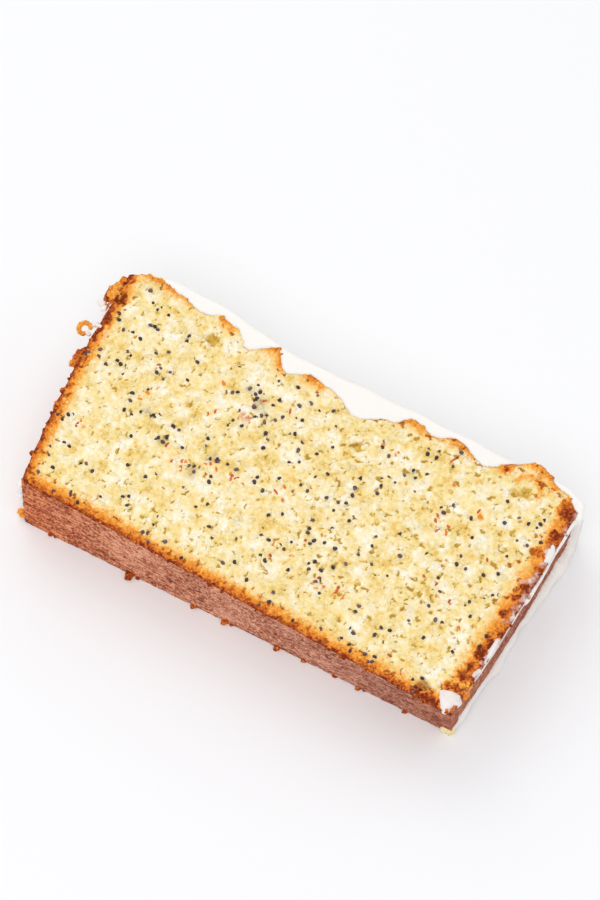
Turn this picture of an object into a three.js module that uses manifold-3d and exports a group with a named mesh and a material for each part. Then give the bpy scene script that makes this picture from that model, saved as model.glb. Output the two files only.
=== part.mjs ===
// A thick slice of glazed lemon poppy seed loaf, lying on one cut face with the other cut face up.
// Millimetres. +X runs along the loaf's width, +Y points to its glazed top, +Z through the slice.
// The origin is the middle of the footprint, on the face that the slice rests on.

import * as THREE from 'three';
import { mergeVertices } from 'three/addons/utils/BufferGeometryUtils.js';
import Module from 'manifold-3d';

// ---- driving dimensions ----

const thickness = 22; // the cut from face to face
const baseWidth = 114; // brown base of the loaf, the floor of a 114 mm wide tin
const baseY = -30.8; // where the base lies
const baseMiddleX = 1.8; // middle of the base
const leftLean = 5.9; // how far the left side leans out over its height
const rightLean = 2.1;
const leftBow = 1.3; // how far each side bows out at mid height
const rightBow = 0.4;
const lowerTwist = 5; // the far edge of the base swings round by this much over its length
const lowerShift = -2.5; // and starts this far out at its left end
const crackedTop = [ // crests and dips of the crumb along the risen top: x, y
  [-61.2, 27.2], [-57.8, 29.2], [-54, 30], [-47.5, 28.8], [-41, 27.2], [-35.5, 28.5], [-31.5, 28],
  [-26.8, 24.2], [-20.5, 28], [-15.7, 23.7], [-9, 26.1], [-4, 25], [4.4, 21.9], [12, 25.1],
  [16.8, 28.2], [22.7, 26.8], [28, 28.9], [36.6, 26.1], [42, 29.2], [50, 30], [56, 29.6], [60.9, 26.8],
];
const bareCrest = { x: 47.5, halfWidth: 4.5, height: 3.2, depth: 7 }; // crumb that shows through the glaze
const topY = 28; // about where the top meets the sides

const faceColumns = 50; // cells over the width
const faceRows = 25; // and over the height of the cut face
const wallRows = 4; // through the thickness
const faceRelief = 0.3; // unevenness of the cut crumb
const wallRelief = 0.3; // unevenness of the crust

const seedCount = 205; // poppy seeds that stand out of the cut face
const seedLength = 1.2;
const seedWidth = 1.0;
const seedStand = 0.45; // how far a seed stands out of the crumb
const seedStray = 0.45; // how far it may stray from the middle of its cell, each way
const seedRoom = 0.12; // least distance to the sides of its cell
const seedShoulder = 0.68; // share of its outline where it rounds over
const seedClear = 2.5; // distance that it keeps to air holes and glaze
const seedDraw = 20417; // start of the random draw

const airHoles = [ // x, y, half length, half width, depth
  [-35, 22.6, 2.1, 1.8, 1.5], [8.5, 15.8, 1.7, 1.5, 1.2], [48.3, 25.2, 1.7, 1.4, 1.3],
  [-31.5, 5.1, 1.0, 0.9, 0.8], [50.1, -27.6, 1.7, 1.2, 1.1], [-59.4, 21.2, 0.8, 2.3, 2.2],
];
const crags = [ // broken crust and clinging crumbs: x, y, z, half sizes along x, y and z
  [-62.4, 21.4, 19.2, 2.6, 2.9, 2.6], [-63.3, 10.5, 20.4, 2.0, 1.3, 1.1],
  [-61.3, 13, 20.3, 1.4, 1.6, 1.4], [-60.6, 4.8, 20.3, 1.4, 2.4, 1.4],
  [-58.4, -9.5, 20.6, 1.0, 1.7, 1.0], [57.4, -28.6, 1.6, 1.9, 1.6, 1.5],
];
const baseCrumbs = [ // crumbs along the lower edge of the base: x, half length
  [-48, 1.0], [-26, 2.2], [-9, 1.2], [-0.5, 1.7], [13.5, 1.6], [20.5, 1.1], [28.6, 1.0], [34.8, 1.2],
  [47, 1.1],
];
const crumbSquash = 0.7; // their width and height, as a share of the length

const glazeGap = 0.3; // clearance between glaze and crumb
const glazeLift = 0.8; // the glaze stops this far above the resting face
const glazeSink = 0.1; // and this far below the upper cut
const glazeTop = [ // smooth outer line of the glaze: x, y
  [-63.4, 25], [-61.6, 28.9], [-58.5, 30.6], [-44.8, 31.7], [-33.5, 31.3], [-21, 29.5], [-11, 29.1],
  [3, 30], [15, 30.4], [30, 30.7], [42, 30.8], [50, 31.6], [56, 31.4], [61, 29.7], [62.8, 26],
];
const glazeColumns = 40; // cells along that line
const glazeRows = 4; // through the thickness
const glazeRipple = 0.25; // unevenness of the poured surface
const glazeSkirt = 12; // how far it thins out down each side, where it breaks into drips
const skirtInset = 3.2; // how far inside the crust it would end
const bareCorner = { inset: 3, depth: 6, width: 7 }; // the upper left corner has no glaze at the cut
const drips = [ // side, middle z, end y, half width, thickness
  ['right', 18.2, 0, 3.0, 1.7], ['right', 20.0, -24, 1.4, 0.9], ['right', 3.9, -24, 2.6, 1.6],
  ['left', 12.2, -31.8, 3.4, 2.1], ['left', 4.4, 4, 2.6, 1.6], ['left', 17.4, 13, 2.4, 1.4],
];
const dripSides = 8; // faces round a drip
const dripSteps = 10; // rings along it
const dripEnd = 0.12; // share of its length in the rounded end
const dripSwell = 0.3; // how much narrower it is at mid length
const glazeDrop = [56.9, -27.9, 22.2, 3.5, 2.7, 1.2]; // a drop on the face's corner, as in crags

// ---- small helpers ----

const wasm = await Module();
wasm.setup();

const lerp = THREE.MathUtils.lerp;
const smooth = THREE.MathUtils.smoothstep;

// A repeatable random draw, from 0 to 1.
function makeDraw(start) {
  let state = start;
  return () => {
    state = (state * 48271) % 2147483647;
    return state / 2147483647;
  };
}

// Height of a line of [x, y] points at x, rounded over each crest and dip.
function lineAt(points, x) {
  const last = points.length - 1;
  if (x <= points[0][0]) return points[0][1];
  if (x >= points[last][0]) return points[last][1];
  const i = points.findIndex((p) => p[0] > x);
  const [x0, y0] = points[i - 1];
  const [x1, y1] = points[i];
  return lerp(y0, y1, smooth(x, x0, x1));
}

// Soft waves of about the given size, from -1 to 1.
function waves(a, b, size) {
  const p = (2 * Math.PI * a) / size;
  const q = (2 * Math.PI * b) / size;
  return (Math.sin(p + 1.7 * Math.sin(0.61 * q)) + Math.sin(1.13 * q + 1.9 * Math.sin(0.53 * p + 1))) / 2;
}

function toSolid(geometry) {
  const bare = geometry.clone();
  bare.deleteAttribute('normal');
  bare.deleteAttribute('uv');
  const merged = mergeVertices(bare, 1e-4);
  return new wasm.Manifold(new wasm.Mesh({
    numProp: 3,
    vertProperties: new Float32Array(merged.attributes.position.array),
    triVerts: new Uint32Array(merged.index.array),
  }));
}

function solidOf(positions, triangles) {
  const geometry = new THREE.BufferGeometry();
  geometry.setAttribute('position', new THREE.Float32BufferAttribute(positions, 3));
  geometry.setIndex(triangles);
  return toSolid(geometry);
}

// Joins rings of points, listed counter-clockwise from below, into a skin that faces out.
function skinRings(rings, triangles) {
  for (let k = 0; k < rings.length - 1; k++) {
    for (let i = 0; i < rings[k].length; i++) {
      const next = (i + 1) % rings[k].length;
      const [a, b, c, d] = [rings[k][i], rings[k][next], rings[k + 1][next], rings[k + 1][i]];
      triangles.push(a, b, c, a, c, d);
    }
  }
}

// Closes a ring of points with a flat face, up or down.
function closeRing(ring, positions, triangles, down) {
  const outline = ring.map((n) => new THREE.Vector2(positions[n * 3], positions[n * 3 + 1]));
  for (const [a, b, c] of THREE.ShapeUtils.triangulateShape(outline, [])) {
    triangles.push(ring[a], ring[down ? c : b], ring[down ? b : c]);
  }
}

// The largest piece of a solid, as a geometry; loose scraps are dropped.
function toGeometry(solid) {
  const pieces = solid.decompose();
  pieces.sort((a, b) => b.volume() - a.volume());
  const mesh = pieces[0].getMesh();
  const geometry = new THREE.BufferGeometry();
  geometry.setAttribute('position', new THREE.BufferAttribute(new Float32Array(mesh.vertProperties), 3));
  geometry.setIndex(new THREE.BufferAttribute(new Uint32Array(mesh.triVerts), 1));
  geometry.computeVertexNormals();
  return geometry;
}

// ---- the section of the loaf ----

// A point of the section. u runs over the width and v from the base to the risen top.
function sectionPoint(u, v) {
  const bow = Math.sin(Math.PI * v);
  const left = baseMiddleX - baseWidth / 2 - leftLean * v - leftBow * bow;
  const right = baseMiddleX + baseWidth / 2 + rightLean * v + rightBow * bow;
  const topX = lerp(crackedTop[0][0], crackedTop[crackedTop.length - 1][0], u);
  return [lerp(left, right, u), lerp(baseY, lineAt(crackedTop, topX), v)];
}

// The section's edge, counter-clockwise from the base's left end, as [u, v] pairs.
function edgeSteps() {
  const steps = [];
  for (let i = 0; i < faceColumns; i++) steps.push([i / faceColumns, 0]);
  for (let j = 0; j < faceRows; j++) steps.push([1, j / faceRows]);
  for (let i = faceColumns; i > 0; i--) steps.push([i / faceColumns, 1]);
  for (let j = faceRows; j > 0; j--) steps.push([0, j / faceRows]);
  return steps;
}

// A point of the outside at height z: the crust's relief, the twist of the base and the bare crest.
function wallPoint(steps, i, z, grow) {
  const count = steps.length;
  const [u, v] = steps[i];
  const before = sectionPoint(...steps[(i + count - 1) % count]);
  const after = sectionPoint(...steps[(i + 1) % count]);
  const along = new THREE.Vector2(after[0] - before[0], after[1] - before[1]).normalize();
  const [x, y] = sectionPoint(u, v);
  const deep = 1 - z / thickness;
  const twist = (lowerShift + lowerTwist * u) * deep * (1 - v);
  const crest = bareCrest.height * smooth(z, thickness - bareCrest.depth, thickness)
    * Math.exp(-(((x - bareCrest.x) / bareCrest.halfWidth) ** 2)) * (v === 1 ? 1 : 0);
  const out = grow + wallRelief * waves(x + 1.4 * y, z * 1.3, 11) * (v === 1 ? 0.4 : 1);
  return new THREE.Vector3(x + along.y * out, y - along.x * out + twist + crest, z);
}

function crumbHeight(x, y) {
  return thickness + faceRelief * (0.6 * waves(x, y, 9.3) + 0.4 * waves(y + 4, x, 5.2));
}

// ---- the cake ----

// The six points of a seed's outline, at a share of its full size, about the middle of its cell.
function seedOutline(seed, corners, share) {
  const middleX = corners.reduce((sum, p) => sum + p[0] / 4, seed.stray[0]);
  const middleY = corners.reduce((sum, p) => sum + p[1] / 4, seed.stray[1]);
  return [0, 1, 2, 3, 4, 5].map((side) => {
    const along = (share * seedLength * Math.cos((Math.PI * side) / 3)) / 2;
    const across = (share * seedWidth * Math.sin((Math.PI * side) / 3)) / 2;
    const x = middleX + along * Math.cos(seed.turn) - across * Math.sin(seed.turn);
    return [x, middleY + along * Math.sin(seed.turn) + across * Math.cos(seed.turn)];
  });
}

// Whether a seed keeps its distance to all four sides of its cell.
function fitsCell(seed, corners) {
  const outline = seedOutline(seed, corners, 1);
  return corners.every(([x0, y0], k) => {
    const [x1, y1] = corners[(k + 1) % 4];
    const side = Math.hypot(x1 - x0, y1 - y0);
    return outline.every(([x, y]) => ((x1 - x0) * (y - y0) - (y1 - y0) * (x - x0)) / side > seedRoom);
  });
}

// Poppy seeds by the cell of the cut face that each one sits in: a seeded draw that keeps off the rim,
// the air holes and the glaze.
function seedPlaces() {
  const draw = makeDraw(seedDraw);
  const places = new Map();
  while (places.size < seedCount) {
    const i = 1 + Math.floor(draw() * (faceColumns - 2));
    const j = 1 + Math.floor(draw() * (faceRows - 2));
    const stray = [(2 * draw() - 1) * seedStray, (2 * draw() - 1) * seedStray];
    const seed = { stray, turn: draw() * Math.PI };
    const corners = [[i, j], [i + 1, j], [i + 1, j + 1], [i, j + 1]]
      .map(([column, row]) => sectionPoint(column / faceColumns, row / faceRows));
    const [x, y] = corners[0];
    const kept = [...airHoles, [...glazeDrop.slice(0, 2), ...glazeDrop.slice(3)]]
      .every(([holeX, holeY, half]) => Math.hypot(x - holeX, y - holeY) > half + seedClear);
    if (kept && fitsCell(seed, corners)) places.set(`${i},${j}`, seed);
  }
  return places;
}

// One cell of the cut face with a seed standing in it: a low dome of six sides.
function seededCell(cell, seed, positions, triangles) {
  const flat = (n) => new THREE.Vector2(positions[n * 3], positions[n * 3 + 1]);
  const corners = cell.map((n) => flat(n).toArray());
  const add = ([x, y], rise) => positions.push(x, y, crumbHeight(x, y) + rise) / 3 - 1;
  const foot = seedOutline(seed, corners, 1).map((p) => add(p, 0));
  const shoulder = seedOutline(seed, corners, seedShoulder).map((p) => add(p, 0.8 * seedStand));
  const tip = add(seedOutline(seed, corners, 0)[0], seedStand);
  const around = [...cell, ...foot];
  for (const [a, b, c] of THREE.ShapeUtils.triangulateShape(cell.map(flat), [foot.map(flat)])) {
    triangles.push(around[a], around[b], around[c]);
  }
  for (let s = 0; s < foot.length; s++) {
    const next = (s + 1) % foot.length;
    triangles.push(foot[s], foot[next], shoulder[next], foot[s], shoulder[next], shoulder[s]);
    triangles.push(shoulder[s], shoulder[next], tip);
  }
}

// The body of the slice. grow makes it larger all round, to clear a space for it in the glaze.
function cakeBody(grow = 0, seeds = new Map()) {
  const positions = [];
  const triangles = [];
  const steps = edgeSteps();
  const add = (p) => positions.push(p.x, p.y, p.z) / 3 - 1;

  // walls, a ring of points for each level
  const rings = [];
  for (let k = 0; k <= wallRows; k++) {
    const z = (thickness * k) / wallRows;
    rings.push(steps.map((step, i) => {
      const p = wallPoint(steps, i, z, grow);
      if (k === 0) p.z = grow ? -thickness : 0;
      if (k === wallRows) p.z = crumbHeight(p.x, p.y) + grow;
      return add(p);
    }));
  }
  skinRings(rings, triangles);
  closeRing(rings[0], positions, triangles, true);

  // the cut face, a grid stretched between the edges of the top ring
  const cellName = (u, v) => `${Math.round(u * faceColumns)},${Math.round(v * faceRows)}`;
  const rim = new Map(steps.map(([u, v], i) => [cellName(u, v), i]));
  const rimPoint = (i) => new THREE.Vector3().fromArray(positions, rings[wallRows][i] * 3);
  const grid = [];
  for (let j = 0; j <= faceRows; j++) {
    grid.push([]);
    for (let i = 0; i <= faceColumns; i++) {
      const onRim = rim.get(`${i},${j}`);
      if (onRim !== undefined) {
        grid[j].push(rings[wallRows][onRim]);
        continue;
      }
      const foot = rimPoint(rim.get(`${i},0`));
      const head = rimPoint(rim.get(`${i},${faceRows}`));
      const left = rimPoint(rim.get(`0,${j}`));
      const right = rimPoint(rim.get(`${faceColumns},${j}`));
      const p = foot.lerp(head, j / faceRows);
      p.x = lerp(left.x, right.x, i / faceColumns);
      p.z = crumbHeight(p.x, p.y) + grow;
      grid[j].push(add(p));
    }
  }
  for (let j = 0; j < faceRows; j++) {
    for (let i = 0; i < faceColumns; i++) {
      const cell = [grid[j][i], grid[j][i + 1], grid[j + 1][i + 1], grid[j + 1][i]];
      const seed = seeds.get(`${i},${j}`);
      if (seed) {
        seededCell(cell, seed, positions, triangles);
      } else {
        const [a, b, c, d] = cell;
        triangles.push(a, b, c, a, c, d);
      }
    }
  }
  return solidOf(positions, triangles);
}

// A rounded lump of the given half sizes, turned about Z.
function lump(x, y, z, sizes, turn = 0, detail = 1) {
  const geometry = new THREE.IcosahedronGeometry(1, detail);
  geometry.scale(...sizes);
  geometry.rotateZ(turn);
  geometry.translate(x, y, z);
  return toSolid(geometry);
}

// The crags and crumbs on the outside, each larger all round by grow.
function cragLumps(grow = 0) {
  const atBase = baseCrumbs.map(([x, half]) => {
    const twist = lowerShift + lowerTwist * (0.5 + (x - baseMiddleX) / baseWidth);
    const low = crumbSquash * half;
    return lump(x, baseY + twist - 0.4 * low, 1.1 * low, [half + grow, low + grow, low + grow], half, 0);
  });
  const crusty = crags.map(([x, y, z, ...sizes]) => lump(x, y, z, sizes.map((size) => size + grow)));
  return [...crusty, ...atBase];
}

function cakeGeometry() {
  let cake = cakeBody(0, seedPlaces());
  for (const [x, y, halfLength, halfWidth, depth] of airHoles) {
    const rise = faceRelief;
    cake = cake.subtract(lump(x, y, thickness + rise, [halfLength, halfWidth, depth + rise]));
  }
  for (const crag of cragLumps()) cake = cake.add(crag);
  return toGeometry(cake);
}

// ---- the glaze ----

// The poured cap as a plain prism that reaches into the cake, before the cake is cut out of it.
function glazeBlank() {
  const [leftX] = glazeTop[0];
  const [rightX] = glazeTop[glazeTop.length - 1];
  const innerY = glazeTop[0][1] - 2 * glazeSkirt;
  const positions = [];
  const triangles = [];
  const rings = [];
  for (let k = 0; k <= glazeRows; k++) {
    const z = lerp(glazeLift, thickness - glazeSink, k / glazeRows);
    const ring = [];
    const recess = bareCorner.inset * smooth(z, thickness - bareCorner.depth, thickness);
    for (let i = 0; i <= glazeColumns; i++) {
      const x = lerp(rightX, leftX, i / glazeColumns);
      const inner = recess * (1 - smooth(x, leftX, leftX + bareCorner.width));
      ring.push([x + inner, lineAt(glazeTop, x) - inner + glazeRipple * waves(x, z, 14)]);
    }
    const lapY = glazeTop[0][1] - glazeSkirt * (1 + 0.4 * waves(2 * z, 5, 13));
    ring.push([leftX + skirtInset, lapY], [leftX + glazeSkirt, innerY]);
    ring.push([rightX - glazeSkirt, innerY], [rightX - skirtInset, lapY]);
    rings.push(ring.map(([x, y]) => positions.push(x, y, z) / 3 - 1));
  }
  skinRings(rings, triangles);
  closeRing(rings[0], positions, triangles, true);
  closeRing(rings[glazeRows], positions, triangles, false);
  return solidOf(positions, triangles);
}

// A run of glaze down one side, from the cap to endY: an oval bead, fuller before its rounded end.
function drip(side, middleZ, endY, halfWidth, bulge) {
  const startY = glazeTop[0][1];
  const u = side === 'left' ? 0 : 1;
  const positions = [];
  const triangles = [];
  const add = (x, y, z) => positions.push(x, y, z) / 3 - 1;
  const wallX = (y) => sectionPoint(u, THREE.MathUtils.clamp((y - baseY) / (topY - baseY), 0, 1))[0];
  const rings = [];
  for (let s = 0; s < dripSteps; s++) {
    const t = 0.02 + 0.97 * Math.sin((Math.PI * s) / (2 * (dripSteps - 1))); // closer together at its end
    const y = lerp(startY, endY, t);
    const waist = dripSwell * (smooth(t, 0.1, 0.4) - smooth(t, 0.6, 0.9));
    const swell = 1 - waist + 0.5 * dripSwell * Math.sin(10 * t + middleZ);
    const round = Math.sqrt(1 - Math.max(0, (t - 1 + dripEnd) / dripEnd) ** 2);
    const ring = [];
    for (let a = 0; a < dripSides; a++) {
      const angle = (2 * Math.PI * a) / dripSides;
      const out = bulge * round * Math.cos(angle);
      ring.push(add(wallX(y) + out, y, middleZ + halfWidth * swell * round * Math.sin(angle)));
    }
    rings.push(ring);
  }
  skinRings(rings, triangles);
  const start = add(wallX(startY), startY + 1, middleZ);
  const end = add(wallX(endY), endY, middleZ);
  for (let a = 0; a < dripSides; a++) {
    const next = (a + 1) % dripSides;
    triangles.push(start, rings[0][next], rings[0][a]);
    triangles.push(end, rings[dripSteps - 1][a], rings[dripSteps - 1][next]);
  }
  return solidOf(positions, triangles);
}

function glazeGeometry() {
  let glaze = glazeBlank();
  for (const settings of drips) glaze = glaze.add(drip(...settings));
  glaze = glaze.subtract(cakeBody(glazeGap));
  for (const crag of cragLumps(glazeGap + 0.1)) glaze = glaze.subtract(crag);
  return toGeometry(glaze);
}

function dropGeometry() {
  const [x, y, z, ...sizes] = glazeDrop;
  return toGeometry(lump(x, y, z, sizes, 0.5).subtract(cakeBody(glazeGap)));
}

// ---- the slice ----

function piece(name, geometry, color, roughness) {
  const mesh = new THREE.Mesh(geometry, new THREE.MeshStandardMaterial({ color, roughness, metalness: 0 }));
  mesh.name = name;
  return mesh;
}

const slice = new THREE.Group();
slice.add(piece('cake', cakeGeometry(), 0xf2d9a5, 0.9));
slice.add(piece('glaze', glazeGeometry(), 0xf8f3ec, 0.35));
slice.add(piece('glaze_drop', dropGeometry(), 0xf8f3ec, 0.35));

// the origin goes to the middle of the footprint
const box = new THREE.Box3().setFromObject(slice);
const middle = box.getCenter(new THREE.Vector3());
slice.position.set(-middle.x, -middle.y, -box.min.z);

export default slice;
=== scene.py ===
# A thick slice of glazed lemon poppy seed loaf, lying on one cut face with the other cut face up.
# Sizes are millimetres of the slice: x along its width, y from its brown base to its glazed top.

import math
import bmesh
import bpy
import numpy as np
from mathutils import Matrix, Vector, noise


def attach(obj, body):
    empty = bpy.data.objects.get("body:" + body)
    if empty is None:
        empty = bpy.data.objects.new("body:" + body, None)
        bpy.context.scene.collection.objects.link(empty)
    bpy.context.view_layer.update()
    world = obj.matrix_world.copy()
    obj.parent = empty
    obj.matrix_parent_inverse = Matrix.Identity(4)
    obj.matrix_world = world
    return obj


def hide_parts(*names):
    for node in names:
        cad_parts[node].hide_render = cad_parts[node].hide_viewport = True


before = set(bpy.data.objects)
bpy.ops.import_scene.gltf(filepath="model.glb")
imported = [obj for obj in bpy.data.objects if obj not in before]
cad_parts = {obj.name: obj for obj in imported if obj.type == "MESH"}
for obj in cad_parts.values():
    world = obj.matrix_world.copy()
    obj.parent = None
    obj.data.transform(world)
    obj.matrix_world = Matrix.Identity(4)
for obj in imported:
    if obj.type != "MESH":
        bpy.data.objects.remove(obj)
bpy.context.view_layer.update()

mm = 0.001


loaf = {
    "thickness": 22.0,
    "baseWidth": 114.0,
    "baseY": -30.8,
    "baseMiddleX": 1.8,
    "leftLean": 5.9,  # how far the left side leans out over its height
    "rightLean": 2.1,
    "leftBow": 1.3,
    "rightBow": 0.4,
    "lowerTwist": 5.0,  # the base's lower edge swings round by this much over its length
    "lowerShift": -2.5,
    "crackedTop": [  # crests and dips of the crumb along the risen top: x, y
        (-61.2, 27.2), (-57.8, 29.2), (-54, 30), (-47.5, 28.8), (-41, 27.2), (-35.5, 28.5), (-31.5, 28),
        (-26.8, 24.2), (-20.5, 28), (-15.7, 23.7), (-9, 26.1), (-4, 25), (4.4, 21.9), (12, 25.1),
        (16.8, 28.2), (22.7, 26.8), (28, 28.9), (36.6, 26.1), (42, 29.2), (50, 30), (56, 29.6), (60.9, 26.8),
    ],
    "airHoles": [  # x, y, half length, half width, depth
        (-35, 22.6, 2.1, 1.8, 1.5), (8.5, 15.8, 1.7, 1.5, 1.2), (48.3, 25.2, 1.7, 1.4, 1.3),
        (-31.5, 5.1, 1.0, 0.9, 0.8), (50.1, -27.6, 1.7, 1.2, 1.1), (-59.4, 21.2, 0.8, 2.3, 2.2),
    ],
    "bareCrest": {"x": 47.5, "halfWidth": 4.5, "height": 3.2, "depth": 7.0},
    "greyPlaces": [  # x, y, radius, strength: seeds lie close together, just under the surface too
        (-16.6, 13.6, 3.6, 1.15), (-20.8, 15.8, 2.0, 1.2), (-39, -1.1, 2.4, 1.0), (-31.6, -5.8, 2.2, 1.2),
        (-19.7, -3.7, 2.2, 1.2), (-22, -9.5, 3.0, 1.1), (23.3, 15.6, 2.2, 1.0), (9.5, 10.5, 2.2, 0.9),
        (31, 4.5, 2.6, 0.8), (-6, -14.5, 2.4, 0.9), (38.5, -13.5, 2.4, 0.9), (50.0, -27.6, 1.8, 1.9),
        (52.4, -30.0, 1.2, 0.9),
    ],
    "footprintMiddle": (-1.10, -0.71),  # the frame's origin, measured as the points above are
}


def smooth(x, low, high):
    t = np.clip((np.asarray(x, float) - low) / (high - low), 0, 1)
    return t * t * (3 - 2 * t)


def lineAt(points, x):  # height of a line of points at x, rounded over each crest and dip
    xs, ys = np.array(points, float).T
    x = np.clip(x, xs[0], xs[-1])
    i = np.clip(np.searchsorted(xs, x, side="right"), 1, len(xs) - 1)
    t = smooth((x - xs[i - 1]) / (xs[i] - xs[i - 1]), 0, 1)
    return ys[i - 1] + (ys[i] - ys[i - 1]) * t


def evenly(x, y, count):  # the same line, cut in equal steps
    far = np.concatenate([[0], np.cumsum(np.hypot(np.diff(x), np.diff(y)))])
    steps = np.linspace(0, far[-1], count)
    return np.interp(steps, far, x), np.interp(steps, far, y)


def waves(a, b, size):  # soft waves of about that size, from -1 to 1
    p, q = 2 * math.pi * a / size, 2 * math.pi * b / size
    return (np.sin(p + 1.7 * np.sin(0.61 * q)) + np.sin(1.13 * q + 1.9 * np.sin(0.53 * p + 1))) / 2


def sectionPoint(u, v):  # u runs over the width, v from the base to the risen top
    bow = np.sin(np.pi * v)
    left = loaf["baseMiddleX"] - loaf["baseWidth"] / 2 - loaf["leftLean"] * v - loaf["leftBow"] * bow
    right = loaf["baseMiddleX"] + loaf["baseWidth"] / 2 + loaf["rightLean"] * v + loaf["rightBow"] * bow
    x = left + (right - left) * u
    topX = loaf["crackedTop"][0][0] * (1 - u) + loaf["crackedTop"][-1][0] * u
    return x, loaf["baseY"] * (1 - v) + lineAt(loaf["crackedTop"], topX) * v


def crestLift(x, z):  # how far the bare crest stands above the cracked line
    crest = loaf["bareCrest"]
    near = smooth(z, loaf["thickness"] - crest["depth"], loaf["thickness"])
    return crest["height"] * near * np.exp(-(((x - crest["x"]) / crest["halfWidth"]) ** 2))


def slicePoint(u, v, z):
    x, y = sectionPoint(u, v)
    twist = (loaf["lowerShift"] + loaf["lowerTwist"] * u) * (1 - z / loaf["thickness"]) * (1 - v)
    return x, y + twist + v * crestLift(x, z)


def crumbDepth(x, y):  # how far a point of the upper cut face lies inside the crumb's outline
    topY = lineAt(loaf["crackedTop"], x) + crestLift(x, loaf["thickness"])
    v = np.clip((y - loaf["baseY"]) / (topY - loaf["baseY"]), 0, 1)
    return np.min([topY - y, x - sectionPoint(0, v)[0], sectionPoint(1, v)[0] - x, y - loaf["baseY"]], axis=0)


def toFrame(x, y, z):  # millimetres of the slice to metres of the frame
    middleX, middleY = loaf["footprintMiddle"]
    x, y, z = np.broadcast_arrays(x, y, z)
    return np.stack([x - middleX, y - middleY, z], -1).reshape(-1, 3) * mm


def linear(hexColour, alpha=1.0):  # "#f2d9a5" as typed in an image editor, to Blender's linear values
    parts = [int(hexColour[i:i + 2], 16) / 255 for i in (1, 3, 5)]
    return (*[p / 12.92 if p <= 0.04045 else ((p + 0.055) / 1.055) ** 2.4 for p in parts], alpha)


def setRamp(ramp, stops):
    while len(ramp.elements) < len(stops):
        ramp.elements.new(1)
    for element, (stop, hexColour) in zip(ramp.elements, stops):
        element.position = stop
        element.color = linear(hexColour)


def nodesIn(tree):  # gives the function that adds a node to this tree, with its settings and links
    def add(kind, inputs=(), stops=None, **settings):
        node = tree.nodes.new(kind)
        for name, value in settings.items():
            setattr(node, name, value)
        if stops:
            setRamp(node.color_ramp, stops)
        for name, value in inputs.items() if isinstance(inputs, dict) else enumerate(inputs):
            if isinstance(value, bpy.types.Node):
                value = value.outputs[0]
            if isinstance(value, bpy.types.NodeSocket):
                tree.links.new(value, node.inputs[name])
            else:
                node.inputs[name].default_value = value
        return node
    return add


def weighted(add, total, parts):  # a sum of values, each times its weight
    for value, weight in parts:
        total = add("ShaderNodeMath", (value, weight, total), operation="MULTIPLY_ADD")
    return total


def newTree(name, sizes):  # an empty geometry tree with one named input for each size
    tree = bpy.data.node_groups.new(name, "GeometryNodeTree")
    tree.interface.new_socket("Geometry", in_out="INPUT", socket_type="NodeSocketGeometry")
    kinds = {int: "Int", float: "Float", bpy.types.Material: "Material"}
    for label, value in sizes.items():
        tree.interface.new_socket(label, in_out="INPUT", socket_type="NodeSocket" + kinds[type(value)])
    tree.interface.new_socket("Geometry", in_out="OUTPUT", socket_type="NodeSocketGeometry")
    return tree, nodesIn(tree), tree.nodes.new("NodeGroupInput").outputs


def finishTree(tree, add, geometry, material=None):
    if material:
        geometry = add("GeometryNodeSetMaterial", {"Geometry": geometry, "Material": material})
    add("NodeGroupOutput", {"Geometry": geometry})
    return tree


def grow(name, carrier, tree, sizes):  # runs the tree on the carrier and keeps the result as a plain mesh
    modifier = carrier.modifiers.new(tree.name, "NODES")
    modifier.node_group = tree
    for item in tree.interface.items_tree:
        if item.in_out == "INPUT" and item.name in sizes:
            modifier[item.identifier] = sizes[item.name]
    graph = bpy.context.evaluated_depsgraph_get()
    mesh = bpy.data.meshes.new_from_object(
        carrier.evaluated_get(graph), preserve_all_data_layers=True, depsgraph=graph)
    carrier.modifiers.remove(modifier)
    mesh.name = name
    return mesh


def meshFrom(name, points, faces):
    mesh = bpy.data.meshes.new(name)
    mesh.from_pydata(np.asarray(points).tolist(), [], faces)
    mesh.update()
    return mesh


def setValues(mesh, name, values):
    mesh.attributes.new(name, "FLOAT", "POINT").data.foreach_set("value", np.asarray(values, np.float32))


def place(name, mesh, smoothFaces=True):
    piece = bpy.data.objects.new(name, mesh)
    bpy.context.scene.collection.objects.link(piece)
    if smoothFaces:
        mesh.shade_smooth()
    return piece


def drop(thing):
    mesh = thing.data
    bpy.data.objects.remove(thing)
    if mesh.users == 0:
        bpy.data.meshes.remove(mesh)


def countOf(mesh):
    mesh.calc_loop_triangles()
    return len(mesh.loop_triangles)


view = {
    "place": (109.44, -183.54, 562.84),  # mm in the frame
    "azimuth": 30.0,
    "elevation": 67.67,
    "lens": 100.0,
}


def makeCamera():
    azimuth, elevation = math.radians(view["azimuth"]), math.radians(view["elevation"])
    right = Vector((math.cos(azimuth), math.sin(azimuth), 0))
    level = Vector((-math.sin(azimuth), math.cos(azimuth), 0))
    ahead = level * math.cos(elevation) + Vector((0, 0, -math.sin(elevation)))
    turn = Matrix((right, right.cross(ahead), -ahead)).transposed().to_4x4()
    camera = bpy.data.objects.new("camera", bpy.data.cameras.new("camera"))
    camera.data.lens = view["lens"]
    camera.data.clip_end = 20
    camera.matrix_world = Matrix.Translation(Vector(view["place"]) * mm) @ turn
    bpy.context.scene.collection.objects.link(camera)
    bpy.context.scene.camera = camera


studio = {
    "floorSize": 3.0,  # metres
    "floorColour": "#f6f7f8",
    "skyColour": "#fdfdff",
    "skyStrength": 0.77,
    "lamps": [  # name, place, size, power, colour
        ("windowLight", (-0.75, 0.55, 1.05), 0.9, 2.9, "#fffaf2"),  # behind the slice, to its left
        ("frontFill", (0.15, -0.6, 1.2), 1.0, 5.0, "#fdfdff"),
    ],
}


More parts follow.
